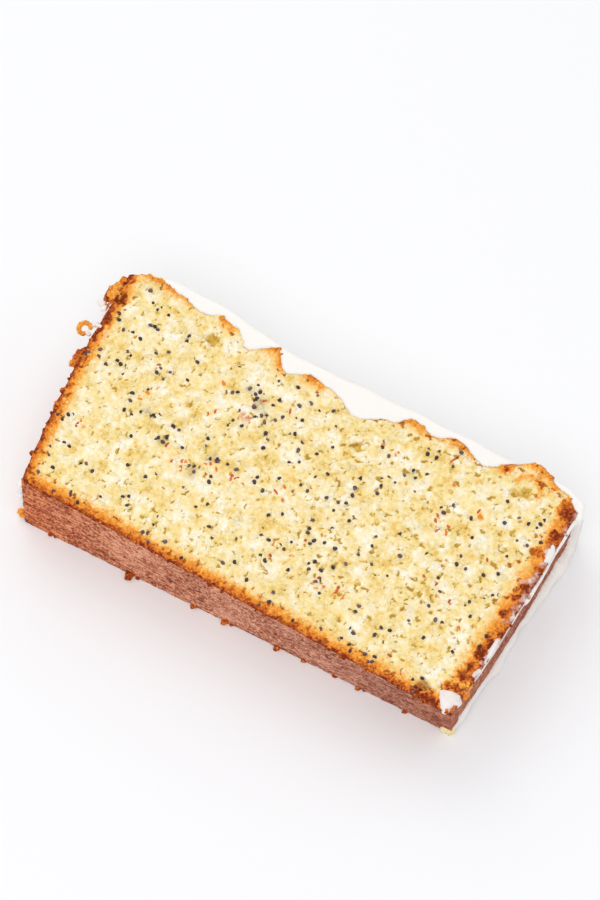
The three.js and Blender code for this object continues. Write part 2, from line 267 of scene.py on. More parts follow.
def makeStudio():
    half = studio["floorSize"] / 2
    corners = [(-half, -half, 0), (half, -half, 0), (half, half, 0), (-half, half, 0)]
    floor = place("floor", meshFrom("floor", corners, [(0, 1, 2, 3)]), smoothFaces=False)
    board = bpy.data.materials.new("matteWhiteBoard")  # painted smooth, so it only shows soft shadows
    board.use_nodes = True
    shader = board.node_tree.nodes["Principled BSDF"]
    shader.inputs["Base Color"].default_value = linear(studio["floorColour"])
    shader.inputs["Roughness"].default_value = 0.6
    floor.data.materials.append(board)

    world = bpy.data.worlds.new("whiteRoom")
    world.use_nodes = True
    sky = world.node_tree.nodes["Background"]
    sky.inputs["Color"].default_value = linear(studio["skyColour"])
    sky.inputs["Strength"].default_value = studio["skyStrength"]
    bpy.context.scene.world = world

    for name, lampPlace, size, power, colour in studio["lamps"]:
        lamp = bpy.data.objects.new(name, bpy.data.lights.new(name, "AREA"))
        lamp.data.size = size
        lamp.data.energy = power
        lamp.data.color = linear(colour)[:3]
        lamp.location = lampPlace
        lamp.rotation_euler = (-Vector(lampPlace)).to_track_quat("-Z", "Y").to_euler()
        bpy.context.scene.collection.objects.link(lamp)
    bpy.context.scene.view_settings.view_transform = "Standard"


makeCamera()
makeStudio()
print("camera, floor and light")


def newMaterial(name, *attributes):  # with the object's own coordinates and the attributes it reads
    material = bpy.data.materials.new(name)
    material.use_nodes = True
    add = nodesIn(material.node_tree)
    known = {label: add("ShaderNodeAttribute", attribute_name=label).outputs["Fac"] for label in attributes}
    return material, add, add("ShaderNodeTexCoord").outputs["Object"], known


def finishMaterial(material, add, colour, height, strength, depth, constants):  # depth of the bumps in mm
    shader, link = material.node_tree.nodes["Principled BSDF"], material.node_tree.links.new
    bump = add("ShaderNodeBump", {"Height": height, "Strength": strength, "Distance": depth * mm})
    link(colour, shader.inputs["Base Color"])
    link(bump.outputs["Normal"], shader.inputs["Normal"])
    for name, value in constants.items():
        shader.inputs[name].default_value = value
    return material


crumbLook = {  # sizes in mm
    "mottleSize": 4.2,
    "flakeSize": 1.1,
    "grainSize": 0.5,
    "raggedSize": 1.5,
    "smearSize": 1.8,
}


def makeCrumb():  # lemon sponge, torn open by the knife: matte, pale on the flakes, gold with painted shade in the pits
    material, add, spot, known = newMaterial(
        "openLemonSponge", "pit", "shade", "browning", "smudge", "smear")
    noises = {name: add("ShaderNodeTexNoise", {
        "Vector": spot, "Scale": 1 / (crumbLook[name + "Size"] * mm), "Detail": detail, "Roughness": 0.62})
        for name, detail in (
            ("mottle", 3.0), ("flake", 2.0), ("grain", 2.0), ("ragged", 3.0), ("smear", 2.0))}

    def layer(below, amount, low, high, most, stops):  # a colour that comes in over the one below
        share = add("ShaderNodeMapRange", {
            "Value": amount, "From Min": low, "From Max": high, "To Max": most})
        over = add("ShaderNodeValToRGB", {"Fac": amount}, stops)
        return add("ShaderNodeMix", {0: share, 6: below, 7: over}, data_type="RGBA").outputs[2]

    # pale flakes and soft gold areas
    tone = weighted(add, -0.74, [(noises["mottle"], 1.75), (noises["flake"], 0.9), (known["shade"], 0.14)])
    pale = add("ShaderNodeValToRGB", {"Fac": tone}, [
        (0.3, "#ecc469"), (0.45, "#f5da8f"), (0.6, "#fae4a6"), (0.78, "#feefc8"), (0.98, "#fffae6")])

    # pits, holes and the gaps between grains: painted shade in darker gold
    sunk = weighted(add, -0.25, [(noises["grain"], 0.5), (known["pit"], 1.0)])
    openColour = layer(pale, sunk, 0.3, 0.7, 1.0, [(0.35, "#f0d078"), (0.7, "#dfbd58"), (1.0, "#c7a247")])

    # grey where seeds lie close together under the surface
    greyed = add("ShaderNodeMath", (known["smudge"], noises["flake"]), operation="MULTIPLY")
    openColour = layer(openColour, greyed, 0.28, 0.85, 0.9, [
        (0.3, "#cdc39b"), (0.65, "#a1956a"), (0.95, "#42310f")])

    # browned towards the crust
    baked = weighted(add, -0.75, [(noises["ragged"], 0.9), (noises["grain"], 0.6), (known["browning"], 1.0)])
    crustColour = add("ShaderNodeValToRGB", {"Fac": baked}, [
        (0.0, "#7c2c0f"), (0.1, "#b45220"), (0.23, "#e3832c"), (0.45, "#f8aa42"), (0.7, "#fbcf7a"),
        (0.95, "#fbe4aa")])
    # painted shade: pits in the browned rim are darker brown
    darkPit = layer(crustColour, sunk, 0.3, 0.7, 1.0, [(0.0, "#ba6424"), (1.0, "#ba6424")])
    raw = add("ShaderNodeMapRange", {"Value": baked, "From Min": 0.5, "From Max": 1.0})
    colour = add("ShaderNodeMix", {0: raw, 6: darkPit, 7: openColour}, data_type="RGBA").outputs[2]

    # a thin film of glaze that the knife dragged over the rim
    dragged = add("ShaderNodeMath", (noises["smear"], known["smear"]), operation="MULTIPLY")
    colour = layer(colour, dragged, 0.34, 0.6, 0.9, [(0.36, "#b8725c"), (0.5, "#d9ab9c"), (0.68, "#f3e6e0")])
    return finishMaterial(material, add, colour, noises["grain"], 0.6, 0.2, {
        "Roughness": 0.85, "Specular IOR Level": 0.2, "Subsurface Weight": 0.15,
        "Subsurface Radius": (1.0, 0.7, 0.35), "Subsurface Scale": 1.2 * mm})


crustLook = {  # sizes in mm
    "grainSize": 0.7,
    "grooveSize": 0.9,
    "grooveStretch": 2.8,
    "patchSize": 9.0,
    "leftX": -64.0,  # where the crust is most orange
    "rightX": 62.0,  # and where it is greyest
}


def makeCrust():  # baked against the tin: dull brown, dusty, with fine grooves along the loaf
    material, add, spot, _ = newMaterial("bakedLoafCrust")
    flat = 1 / crustLook["grooveStretch"]
    stretched = add("ShaderNodeMapping", {"Vector": spot, "Scale": (flat, flat, 1.0)})
    noises = {name: add("ShaderNodeTexNoise", {
        "Vector": source, "Scale": 1 / (crustLook[name + "Size"] * mm), "Detail": 3.0, "Roughness": 0.65})
        for name, source in (("grain", spot), ("groove", stretched), ("patch", spot))}
    tone = weighted(add, -0.14, [(noises["grain"], 0.62), (noises["groove"], 0.45), (noises["patch"], 0.25)])
    colour = add("ShaderNodeValToRGB", {"Fac": tone}, [
        (0.39, "#702c12"), (0.46, "#a85837"), (0.53, "#cf8a6a"), (0.62, "#f8bb9e")])
    along = add("ShaderNodeMapRange", {
        "Value": add("ShaderNodeSeparateXYZ", {"Vector": spot}),
        "From Min": crustLook["leftX"] * mm, "From Max": crustLook["rightX"] * mm})
    tint = add("ShaderNodeValToRGB", {"Fac": along}, [
        (0.0, "#ffcc92"), (0.3, "#f9efe3"), (0.7, "#f1eff1"), (0.86, "#d8cfcf"), (1.0, "#d2b7a9")])
    colour = add("ShaderNodeMix", {0: 1.0, 6: colour, 7: tint}, data_type="RGBA", blend_type="MULTIPLY")
    height = add("ShaderNodeMath", (noises["grain"], noises["groove"]), operation="ADD").outputs[0]
    return finishMaterial(material, add, colour.outputs[2], height, 0.8, 0.3, {
        "Roughness": 0.75, "Specular IOR Level": 0.25})


def makeSeedCoat():  # blue poppy seed: near black with a slate bloom and a net of tiny pits
    material, add, spot, known = newMaterial("bluePoppySeedCoat", "shade")
    net = add("ShaderNodeTexVoronoi", {"Vector": spot, "Scale": 1 / (0.16 * mm)})
    bloom = weighted(add, known["shade"], [(net, 0.35)])
    colour = add("ShaderNodeValToRGB", {"Fac": bloom}, [
        (0.1, "#2b1b23"), (0.5, "#432e39"), (0.75, "#66515d"), (1.05, "#9f8f99")])
    return finishMaterial(material, add, colour.outputs[0], net, 0.5, 0.05, {"Roughness": 0.5})


def makeZest():  # grated peel, dried and browned at its edges
    material, add, spot, known = newMaterial("bakedPeelShreds", "shade")
    colour = add("ShaderNodeValToRGB", {"Fac": known["shade"]}, [
        (0.0, "#f7d9bd"), (0.08, "#eeab88"), (0.16, "#b4461b"), (0.5, "#dc6318"), (0.8, "#f28c26"),
        (1.0, "#fab858")])
    grain = add("ShaderNodeTexNoise", {"Vector": spot, "Scale": 1 / (0.3 * mm)})
    return finishMaterial(material, add, colour.outputs[0], grain, 0.4, 0.1, {"Roughness": 0.55})


def makeGlazeLook():  # powdered sugar and lemon juice, poured and set: smooth, white, soft edged
    material, add, spot, known = newMaterial("setSugarGlaze", "filmAndShade")
    cloud = add("ShaderNodeTexNoise", {"Vector": spot, "Scale": 1 / (2.5 * mm), "Detail": 3.0})
    thin = weighted(add, known["filmAndShade"], [(cloud, 0.5)])
    # low values: thin glaze tinted by the crumb under it, and painted shade low down and on the drop
    colour = add("ShaderNodeValToRGB", {"Fac": thin}, [
        (0.25, "#dcc0ae"), (0.5, "#eee6e2"), (0.8, "#f6f0e8"), (1.1, "#f8f4ee")])
    return finishMaterial(material, add, colour.outputs[0], cloud, 0.25, 0.2, {
        "Roughness": 0.35, "IOR": 1.49, "Subsurface Weight": 0.3, "Subsurface Radius": (1.0, 0.9, 0.8),
        "Subsurface Scale": 1.5 * mm})


openCrumb = makeCrumb()
bakedCrust = makeCrust()
seedCoat = makeSeedCoat()
peel = makeZest()
sugar = makeGlazeLook()
print("materials")


seedRule = {  # the draw of the solid slice's seeds, but without the lift of its bare crest
    "count": 205,
    "columns": 50,
    "rows": 25,
    "length": 1.2,
    "width": 1.0,
    "stray": 0.45,
    "room": 0.12,
    "clear": 2.5,
    "draw": 20417,
    "drop": (56.9, -27.9, 3.5),  # x, y and half length of the glaze drop that they keep clear of
    "pairs": 0.16,  # share of them that has another seed beside it
    "pairApart": (1.15, 0.5),  # least distance, and how much it varies
    "clusterReach": (0.6, 1.9),
    "baseRim": (0.02, 0.03),  # how far into the base's rim, and the side's, as shares of the slice
    "sideRim": (0.012, 0.02),
    "clusters": [  # x, y, seeds: where more of them lie together
        (-20.2, 15.2, 5), (-13.6, 12.4, 4), (-16.5, 14.4, 3), (23.3, 15.6, 3), (-39.0, -1.1, 3),
        (-32.0, -5.8, 3), (49.6, -28.0, 4), (-23.5, -9.5, 3), (-19.8, -4.0, 2),
        (-55.0, -12.0, 4), (-57.5, 4.2, 2),
    ],
    "inRim": 16,  # seeds in the browned rim
}


def makeDraw(start):  # a repeatable random draw, from 0 to 1
    state = start

    def draw():
        nonlocal state
        state = state * 48271 % 2147483647
        return state / 2147483647
    return draw


def seedPlaces():
    draw = makeDraw(seedRule["draw"])
    columns, rows = seedRule["columns"], seedRule["rows"]
    avoided = [(x, y, half) for x, y, half, *_ in loaf["airHoles"]] + [seedRule["drop"]]
    places = {}
    while len(places) < seedRule["count"]:
        i = 1 + math.floor(draw() * (columns - 2))
        j = 1 + math.floor(draw() * (rows - 2))
        strayX, strayY = [(2 * draw() - 1) * seedRule["stray"] for _ in range(2)]
        turn = draw() * math.pi
        corners = [sectionPoint(a / columns, b / rows) for a, b in
                   ((i, j), (i + 1, j), (i + 1, j + 1), (i, j + 1))]
        x = sum(corner[0] for corner in corners) / 4 + strayX
        y = sum(corner[1] for corner in corners) / 4 + strayY
        room = min(
            roomInside(x, y, turn, corners[k], corners[(k + 1) % 4]) for k in range(4))
        clear = all(
            math.hypot(corners[0][0] - holeX, corners[0][1] - holeY) > half + seedRule["clear"]
            for holeX, holeY, half in avoided)
        if clear and room > seedRule["room"]:
            places[i, j] = (float(x), float(y))
    return list(places.values())


def roomInside(x, y, turn, start, end):  # distance from a seed's outline to one side of its cell
    side = math.hypot(end[0] - start[0], end[1] - start[1])
    rooms = []
    for corner in range(6):
        along = seedRule["length"] * math.cos(math.pi * corner / 3) / 2
        across = seedRule["width"] * math.sin(math.pi * corner / 3) / 2
        seedX = x + along * math.cos(turn) - across * math.sin(turn)
        seedY = y + along * math.sin(turn) + across * math.cos(turn)
        cross = (end[0] - start[0]) * (seedY - start[1]) - (end[1] - start[1]) * (seedX - start[0])
        rooms.append(cross / side)
    return min(rooms)


def allSeedPlaces():  # the standing seeds, and the ones that only show in the finished crumb
    places = seedPlaces()
    draw = makeDraw(seedRule["draw"] + 1)
    within = lambda reach: reach[0] + reach[1] * draw()

    def addNear(x, y, reach):
        turn, away = draw() * 2 * math.pi, within(reach)
        places.append((x + away * math.cos(turn), y + away * math.sin(turn)))

    for x, y in places[:]:
        if draw() < seedRule["pairs"]:
            addNear(x, y, seedRule["pairApart"])
    for x, y, count in seedRule["clusters"]:
        for _ in range(count):
            addNear(x, y, seedRule["clusterReach"])
    for k in range(seedRule["inRim"]):
        u, v = (draw(), within(seedRule["baseRim"])) if k % 4 else (within(seedRule["sideRim"]), draw())
        places.append(tuple(float(value) for value in sectionPoint(u, v)))
    dropX, dropY, dropHalf = seedRule["drop"]
    return [(x, y) for x, y in places if math.hypot(x - dropX, y - dropY) > dropHalf]


seedSpots = allSeedPlaces()

body = {
    "columns": 364,  # cells over the width of the cut face, about 0.35 mm each
    "rows": 160,
    "wallRows": 43,
    "softHoles": [(45.9, 24.1, 1.9, 1.3, 1.0), (-40.5, 8.3, 1.2, 0.8, 0.7), (0.5, 21.0, 1.3, 0.8, 0.8)],
    "nookEvery": 3,  # one seed in three has a small hollow beside it
    "nookTurn": 2.4,  # radians from the side of one hollow to the side of the next
    "nookAway": 0.62,
    "nookRadius": (0.3, 0.1),  # the least, and the steps that it grows by
    "nookDepth": 0.7,  # as a share of a pit's depth
    "lineSpots": 14,  # single spots that make up one baked line
    "baseBrown": 5.2,  # how far the browning reaches in from each side
    "leftBrown": 4.6,
    "rightBrown": 6.8,
    "topBrown": 0.9,
    "topLeast": 0.8,  # under the glaze the top is hardly browned
    "crestDarker": 0.52,  # except on the crests
    "calmPatches": [  # x, y, half length, half width, turn, rise: smooth, pale places in the crumb
        (39.4, 16.4, 4.6, 2.0, -0.45, 0.5), (-3.0, 1.5, 3.4, 1.6, 0.4, 0.15), (-31, 12, 3.0, 1.4, 1.2, 0.15),
        (21, -2.5, 3.2, 1.5, 0.2, 0.15), (-44.5, -17, 3.0, 1.4, 0.1, 0.15), (27.6, -22, 3.6, 1.3, -0.2, 0.1),
    ],
    "smears": [  # side, from y, to y, how far in, strength: glaze dragged over the rim
        ("right", 30, 17, 2.4, 0.9), ("right", 18.5, 9, 3.0, 1.15), ("right", 11, -7, 4.2, 0.98),
        ("right", -8, -22, 1.7, 1.5), ("right", -20, -33, 1.2, 0.8), ("left", 19, 15, 0.8, 0.8),
    ],
    "bakedSpots": [  # x, y, radius, strength
        (57.0, 13.4, 1.5, 0.4), (58.7, 4.6, 1.4, 0.4), (57.9, 1.2, 1.2, 0.35), (57.4, -3.6, 1.3, 0.4),
        (57.8, 25.4, 2.2, 0.42), (59.3, 24.4, 1.3, 0.3), (57.3, 27.3, 1.4, 0.3), (58.5, 18.9, 1.6, 0.4),
        (57.6, -11.2, 1.4, 0.34), (57.2, -14.4, 2.1, 0.44), (56.6, -18.6, 1.3, 0.34),
        (56.4, -20.9, 1.8, 0.45),
        (52.6, -30.0, 2.4, 0.4), (48.8, -29.6, 1.8, 0.32), (54.5, -24.9, 1.4, 0.65), (57.0, -24.3, 1.2, 0.45),
        (41.6, 27.9, 1.1, 0.5), (53.4, 7.9, 1.0, 0.45), (54.1, 9.4, 0.8, 0.4), (41.8, 14.6, 1.0, 0.6),
        (-59.8, 14.2, 1.9, 0.4), (-60.2, 11.4, 1.4, 0.35), (-58.9, 20.6, 1.5, 0.7),
    ],
    "bakedLines": [  # x and y of their points, half width, strength: the top's crust, folded in as it rose
        ((44.6, 45.8, 47.2, 49.2, 50.6, 51.2), (26.8, 28.1, 29.2, 28.8, 27.5, 25.4), 1.1, 0.45),
    ],
    "brownCrests": [  # x, half width, extra depth of the browned crests along the top
        (-52, 9, 2.2), (-33.8, 2.7, 3.2), (-19.5, 4.2, 4.2), (-8.5, 3.8, 3.6), (18, 4.6, 3.2),
        (29, 5.0, 3.0), (41.2, 2.6, 3.4), (50, 6.0, 4.6),
    ],
}
crumbRelief = {
    "Grain size": 1.15,
    "Grain height": 0.36,
    "Clump size": 2.7,
    "Clump height": 0.3,
    "Swell size": 9.0,
    "Swell height": 0.35,
    "Pit size": 1.45,
    "Pit depth": 0.5,
    "Pit level": 0.615,
    "Crust grain size": 0.9,
    "Crust grain height": 0.22,
    "Groove length": 3.4,
    "Groove height": 0.3,
}


def rimCells(columns, rows):  # the grid points round a face, counter-clockwise from its first corner
    cells = [(i, 0) for i in range(columns)] + [(columns, j) for j in range(rows)]
    cells += [(i, rows) for i in range(columns, 0, -1)] + [(0, j) for j in range(rows, 0, -1)]
    return cells


def browningAt(u, v, x, y, z):  # 0 at the crust, 1 where the crumb is pale
    baseY, topY = slicePoint(u, np.zeros_like(v), z)[1], slicePoint(u, np.ones_like(v), z)[1]
    leftX, rightX = slicePoint(np.zeros_like(u), v, z)[0], slicePoint(np.ones_like(u), v, z)[0]
    crests = [(np.exp(-(((x - middle) / half) ** 4)), depth) for middle, half, depth in body["brownCrests"]]
    topBrown = body["topBrown"] + sum(share * depth for share, depth in crests)
    least = body["topLeast"] - body["crestDarker"] * np.clip(sum(share for share, _ in crests), 0, 1)
    fromTop = least + (1 - least) * (topY - y) / topBrown
    return np.clip(np.min([
        (y - baseY) / body["baseBrown"], fromTop,
        (x - leftX) / body["leftBrown"], (rightX - x) / body["rightBrown"]], axis=0), 0, 1)


def calmAt(x, y):  # how smooth the crumb is there, and how far it stands up
    calm, rise = np.zeros_like(x), np.zeros_like(x)
    for middleX, middleY, half, halfWidth, turn, height in body["calmPatches"]:
        along = (x - middleX) * math.cos(turn) + (y - middleY) * math.sin(turn)
        across = (y - middleY) * math.cos(turn) - (x - middleX) * math.sin(turn)
        away = np.hypot(along / half, across / halfWidth) * (1 + 0.12 * waves(x, y, 3.1))
        calm = np.maximum(calm, 1 - smooth(away, 0.7, 1.25))
        rise = np.maximum(rise, height * (1 - smooth(away, 0.1, 1.3)))
    return calm, rise


def nookAt(x, y):  # a small hollow beside some seeds, where the crumb pulled away
    nook = np.zeros_like(x)
    least, growth = body["nookRadius"]
    for k, (seedX, seedY) in enumerate(seedSpots[::body["nookEvery"]]):
        turn, radius = body["nookTurn"] * k, least + growth * (k % 3)
        middleX = seedX + body["nookAway"] * math.cos(turn)
        middleY = seedY + body["nookAway"] * math.sin(turn)
        near = (np.abs(x - middleX) < 2) & (np.abs(y - middleY) < 2)
        away = np.hypot(x[near] - middleX, y[near] - middleY) / radius
        away = away * (1 + 0.3 * waves(x[near], y[near], 0.9))
        nook[near] = np.maximum(nook[near], body["nookDepth"] * (1 - smooth(away, 0.3, 1.2)))
    return nook


def spotAt(x, y):  # how much darker single places are baked
    spot = np.zeros_like(x)
    spots = list(body["bakedSpots"])
    for lineX, lineY, halfWidth, strength in body["bakedLines"]:
        spots += [(spotX, spotY, halfWidth, strength)
                  for spotX, spotY in zip(*evenly(lineX, lineY, body["lineSpots"]))]
    for middleX, middleY, radius, strength in spots:
        away = np.hypot(x - middleX, y - middleY) / radius * (1 + 0.3 * waves(x, y, 1.9))
        spot = np.maximum(spot, strength * (1 - smooth(away, 0.35, 1.2)))
    return spot


def smudgeAt(x, y):  # grey round the seeds that lie close together
    smudge = np.zeros_like(x)
    for middleX, middleY, radius, strength in loaf["greyPlaces"]:
        away = np.hypot(x - middleX, y - middleY) / radius
        smudge = np.maximum(smudge, strength * np.exp(-(away ** 2)))
    return smudge


def smearAt(u, v, x, y, z):
    leftX, rightX = slicePoint(np.zeros_like(u), v, z)[0], slicePoint(np.ones_like(u), v, z)[0]
    smear = np.zeros_like(x)
    for side, startY, endY, reach, strength in body["smears"]:
        inside = x - leftX if side == "left" else rightX - x
        along = smooth(y, endY, endY + 2.5) * (1 - smooth(y, startY - 2.5, startY))
        reach = reach * (1 + 0.45 * waves(y, 3, 5.1))
        smear = np.maximum(smear, strength * along * (1 - smooth(inside / reach, 0.35, 1.1)))
    return smear


def sliceMesh():
    columns, rows, wallRows = body["columns"], body["rows"], body["wallRows"]
    points, faces = [], []
    values = {name: [] for name in (
        "onCut", "onCrust", "browning", "dent", "nook", "calm", "smudge", "smear")}

    def addPoints(x, y, z, **known):
        first = sum(len(part) for part in points)
        points.append(toFrame(x, y, z))
        for name, parts in values.items():
            parts.append(np.broadcast_to(known.get(name, 0.0), len(points[-1])))
        return first

    def addFace(columns, rows, z, upper):
        v, u = [g.ravel() for g in np.meshgrid(
            np.linspace(0, 1, rows + 1), np.linspace(0, 1, columns + 1), indexing="ij")]
        x, y = slicePoint(u, v, z)
        onRim = (u == 0) | (u == 1) | (v == 0) | (v == 1)
        dent = np.zeros_like(x)
        for holeX, holeY, halfLength, halfWidth, depth in loaf["airHoles"] + body["softHoles"]:
            away = np.hypot((x - holeX) / halfLength, (y - holeY) / halfWidth)
            away = away * (1 + 0.25 * waves(x, y, 2.3))
            dent = np.maximum(dent, depth * np.sqrt(np.clip(1 - away ** 2, 0, 1)))
        calm, rise = calmAt(x, y)
        dent, calm, rise, spot = dent * upper, calm * upper, rise * upper, spotAt(x, y) * upper
        first = addPoints(
            x, y, z - dent + rise, onCut=upper * 1.0, onCrust=onRim * 1.0,
            browning=np.clip(browningAt(u, v, x, y, z) - spot, 0, 1), dent=dent, nook=nookAt(x, y) * upper,
            calm=calm, smudge=smudgeAt(x, y) * upper,
            smear=smearAt(u, v, x, y, z) * upper * np.clip(1 - 1.2 * spot, 0, 1))
        cell = lambda i, j: first + j * (columns + 1) + i
        for j in range(rows):
            for i in range(columns):
                face = (cell(i, j), cell(i + 1, j), cell(i + 1, j + 1), cell(i, j + 1))
                faces.append(face if upper else face[::-1])
        return [cell(i, j) for i, j in rimCells(columns, rows)]

    upperRim = addFace(columns, rows, loaf["thickness"], True)
    lowerRim = addFace(columns // 2, rows // 2, 0.0, False)
    cutFaces = len(faces)

    around = np.array(rimCells(columns // 2, rows // 2), float)
    u, v = around[:, 0] / (columns // 2), around[:, 1] / (rows // 2)
    ring = lowerRim
    for k in range(1, wallRows):
        z = loaf["thickness"] * k / wallRows
        first = addPoints(*slicePoint(u, v, z), z, onCrust=1.0)
        above = [first + i for i in range(len(u))]
        for i in range(len(u)):
            after = (i + 1) % len(u)
            faces.append((ring[i], ring[after], above[after], above[i]))
        ring = above
    for i in range(len(u)):  # the cut face has two cells to each one of the wall
        after = (i + 1) % len(u)
        start, half, end = upperRim[2 * i], upperRim[2 * i + 1], upperRim[(2 * i + 2) % len(upperRim)]
        faces.extend([(ring[i], half, start), (ring[i], ring[after], half), (ring[after], end, half)])

    mesh = meshFrom("slice", np.concatenate(points), faces)
    for name, parts in values.items():
        setValues(mesh, name, np.concatenate(parts))
    mesh.materials.append(openCrumb)
    mesh.materials.append(bakedCrust)
    onWall = np.zeros(len(faces), np.int32)
    onWall[cutFaces:] = 1
    mesh.polygons.foreach_set("material_index", onWall)
    return mesh


def reliefTree(sizes):  # torn grains, clumps and pits on the cut face, grooves and grit on the crust
    tree, add, size = newTree("sliceRelief", sizes)
    where = add("ShaderNodeVectorMath", (
        add("GeometryNodeInputPosition"), (1000, 1000, 1000)), operation="MULTIPLY")
    known = {name: add("GeometryNodeInputNamedAttribute", {"Name": name})
             for name in ("onCut", "onCrust", "dent", "calm", "nook")}
    broken = weighted(add, 1.0, [(known["calm"], -0.8)])
    scale = {label: add("ShaderNodeMath", (1.0, size[label]), operation="DIVIDE")
             for label in sizes if label.endswith(("size", "length"))}

    # the places are bent a little, so that no cell has straight sides
    bend = add("ShaderNodeTexNoise", {"Vector": where, "Scale": 0.7, "Detail": 1.0}, noise_dimensions="2D")
    bend = add("ShaderNodeVectorMath", (
        bend.outputs["Color"], (1.6, 1.6, 0), (-0.8, -0.8, 0)), operation="MULTIPLY_ADD")
    bent = add("ShaderNodeVectorMath", (where, bend), operation="ADD")

    grains, clumps = [
        add("ShaderNodeTexVoronoi", {"Vector": bent, "Scale": scale[label]}, voronoi_dimensions="2D")
        for label in ("Grain size", "Clump size")]
    dome = add("ShaderNodeMapRange", {
        "Value": grains, "From Min": 0.1, "From Max": 0.7, "To Min": 1.0, "To Max": 0.0},
        interpolation_type="SMOOTHSTEP")
    lift = add("ShaderNodeSeparateXYZ", {"Vector": grains.outputs["Color"]})
    grainRise = add("ShaderNodeMath", (dome, weighted(add, 0.35, [(lift, 0.9)])), operation="MULTIPLY")
    swell = add("ShaderNodeTexNoise", {
        "Vector": where, "Scale": scale["Swell size"], "Detail": 2.0}, noise_dimensions="2D")
    holes = add("ShaderNodeTexNoise", {
        "Vector": bent, "Scale": scale["Pit size"], "Detail": 2.0, "Roughness": 0.55, "Distortion": 0.4},
        noise_dimensions="2D")
    edge = add("ShaderNodeMath", (size["Pit level"], 0.09), operation="ADD")
    pit = add("ShaderNodeMapRange", {
        "Value": holes, "From Min": size["Pit level"], "From Max": edge}, interpolation_type="SMOOTHSTEP")
    pit = add("ShaderNodeMath", (pit, broken), operation="MULTIPLY")
    pit = add("ShaderNodeMath", (pit, known["nook"]), operation="MAXIMUM")

    rise = weighted(add, -0.15, [(grainRise, size["Grain height"])])
    low = add("ShaderNodeMath", (clumps, size["Clump height"]), operation="MULTIPLY")
    rise = add("ShaderNodeMath", (rise, low), operation="SUBTRACT")
    slow = add("ShaderNodeMath", (swell, 0.5), operation="SUBTRACT")
    rise = weighted(add, rise, [(slow, size["Swell height"])])
    deep = add("ShaderNodeMath", (pit, size["Pit depth"]), operation="MULTIPLY")
    rise = add("ShaderNodeMath", (rise, deep), operation="SUBTRACT")
    for factor in (known["onCut"], broken):
        rise = add("ShaderNodeMath", (rise, factor), operation="MULTIPLY")
    upward = add("ShaderNodeCombineXYZ", {"Z": rise})

    # the crust
    along = scale["Groove length"]
    stretch = add("ShaderNodeCombineXYZ", {"X": along, "Y": along, "Z": 1.0})
    stretched = add("ShaderNodeVectorMath", (where, stretch), operation="MULTIPLY")
    grooves, grit = [add("ShaderNodeTexNoise", {
        "Vector": source, "Scale": fineness, "Detail": 2.0, "Roughness": 0.6})
        for source, fineness in ((stretched, 0.9), (where, scale["Crust grain size"]))]
    grooves, grit = [add("ShaderNodeMath", (field, 0.5), operation="SUBTRACT") for field in (grooves, grit)]
    crustRise = add("ShaderNodeMath", (grooves, size["Groove height"]), operation="MULTIPLY")
    crustRise = weighted(add, crustRise, [(grit, size["Crust grain height"])])
    for factor in (2.5, known["onCrust"]):
        crustRise = add("ShaderNodeMath", (crustRise, factor), operation="MULTIPLY")
    outward = add("ShaderNodeVectorMath", {
        0: add("GeometryNodeInputNormal"), "Scale": crustRise}, operation="SCALE")

    shift = add("ShaderNodeVectorMath", (upward, outward), operation="ADD")
    moved = add("ShaderNodeVectorMath", (where, shift), operation="ADD")
    moved = add("ShaderNodeVectorMath", (moved, (-1000, -1000, 0)), operation="MAXIMUM")
    moved = add("ShaderNodeVectorMath", (moved, (mm, mm, mm)), operation="MULTIPLY")

    # what the material needs to know: pits, holes and the gaps between grains, where it paints shade, and a
    # random tone for each grain
    shallow = add("ShaderNodeMath", (1.0, dome), operation="SUBTRACT")
    seen = weighted(add, pit, [(shallow, 0.28), (known["dent"], 0.5)])
    seen = add("ShaderNodeMath", (seen, known["onCut"]), operation="MULTIPLY")
    kept = size["Geometry"]
    for name, value in (("pit", seen), ("shade", lift.outputs[1])):
        kept = add("GeometryNodeStoreNamedAttribute", {
            "Geometry": kept, "Name": name, "Value": value}, domain="POINT")
    return finishTree(tree, add, add("GeometryNodeSetPosition", {"Geometry": kept, "Position": moved}))


blank = place("sliceBlank", sliceMesh())
cake = place("loaf_slice", grow("loaf_slice", blank, reliefTree(crumbRelief), crumbRelief))
drop(blank)
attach(cake, "root")
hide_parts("cake")
print("slice:", countOf(cake.data), "triangles")


grainScatter = {
    "Per square mm": 0.33,
    "Smallest": 0.7,
    "Largest": 1.7,
    "Sink": 0.12,
    "Roughness": 0.35,
    "Random seed": 7,
    "Material": openCrumb,
}


def scatter(add, dots, lump, scale, tilt, seed, tones=None):  # a lump on each dot, turned its own way
    turn = add("FunctionNodeRandomValue", {
        0: (-tilt, -tilt, 0), 1: (tilt, tilt, 6.283), "Seed": seed}, data_type="FLOAT_VECTOR")
    lumps = add("GeometryNodeInstanceOnPoints", {
        "Points": dots, "Instance": lump, "Rotation": turn, "Scale": scale})
    if tones:  # the largest tone, and its seed
        tone = add("FunctionNodeRandomValue", {2: 0.0, 3: tones[0], "Seed": tones[1]}, data_type="FLOAT")
        lumps = add("GeometryNodeStoreNamedAttribute", {
            "Geometry": lumps, "Name": "shade", "Value": tone.outputs[1]}, domain="INSTANCE")
    return add("GeometryNodeRealizeInstances", {"Geometry": lumps})


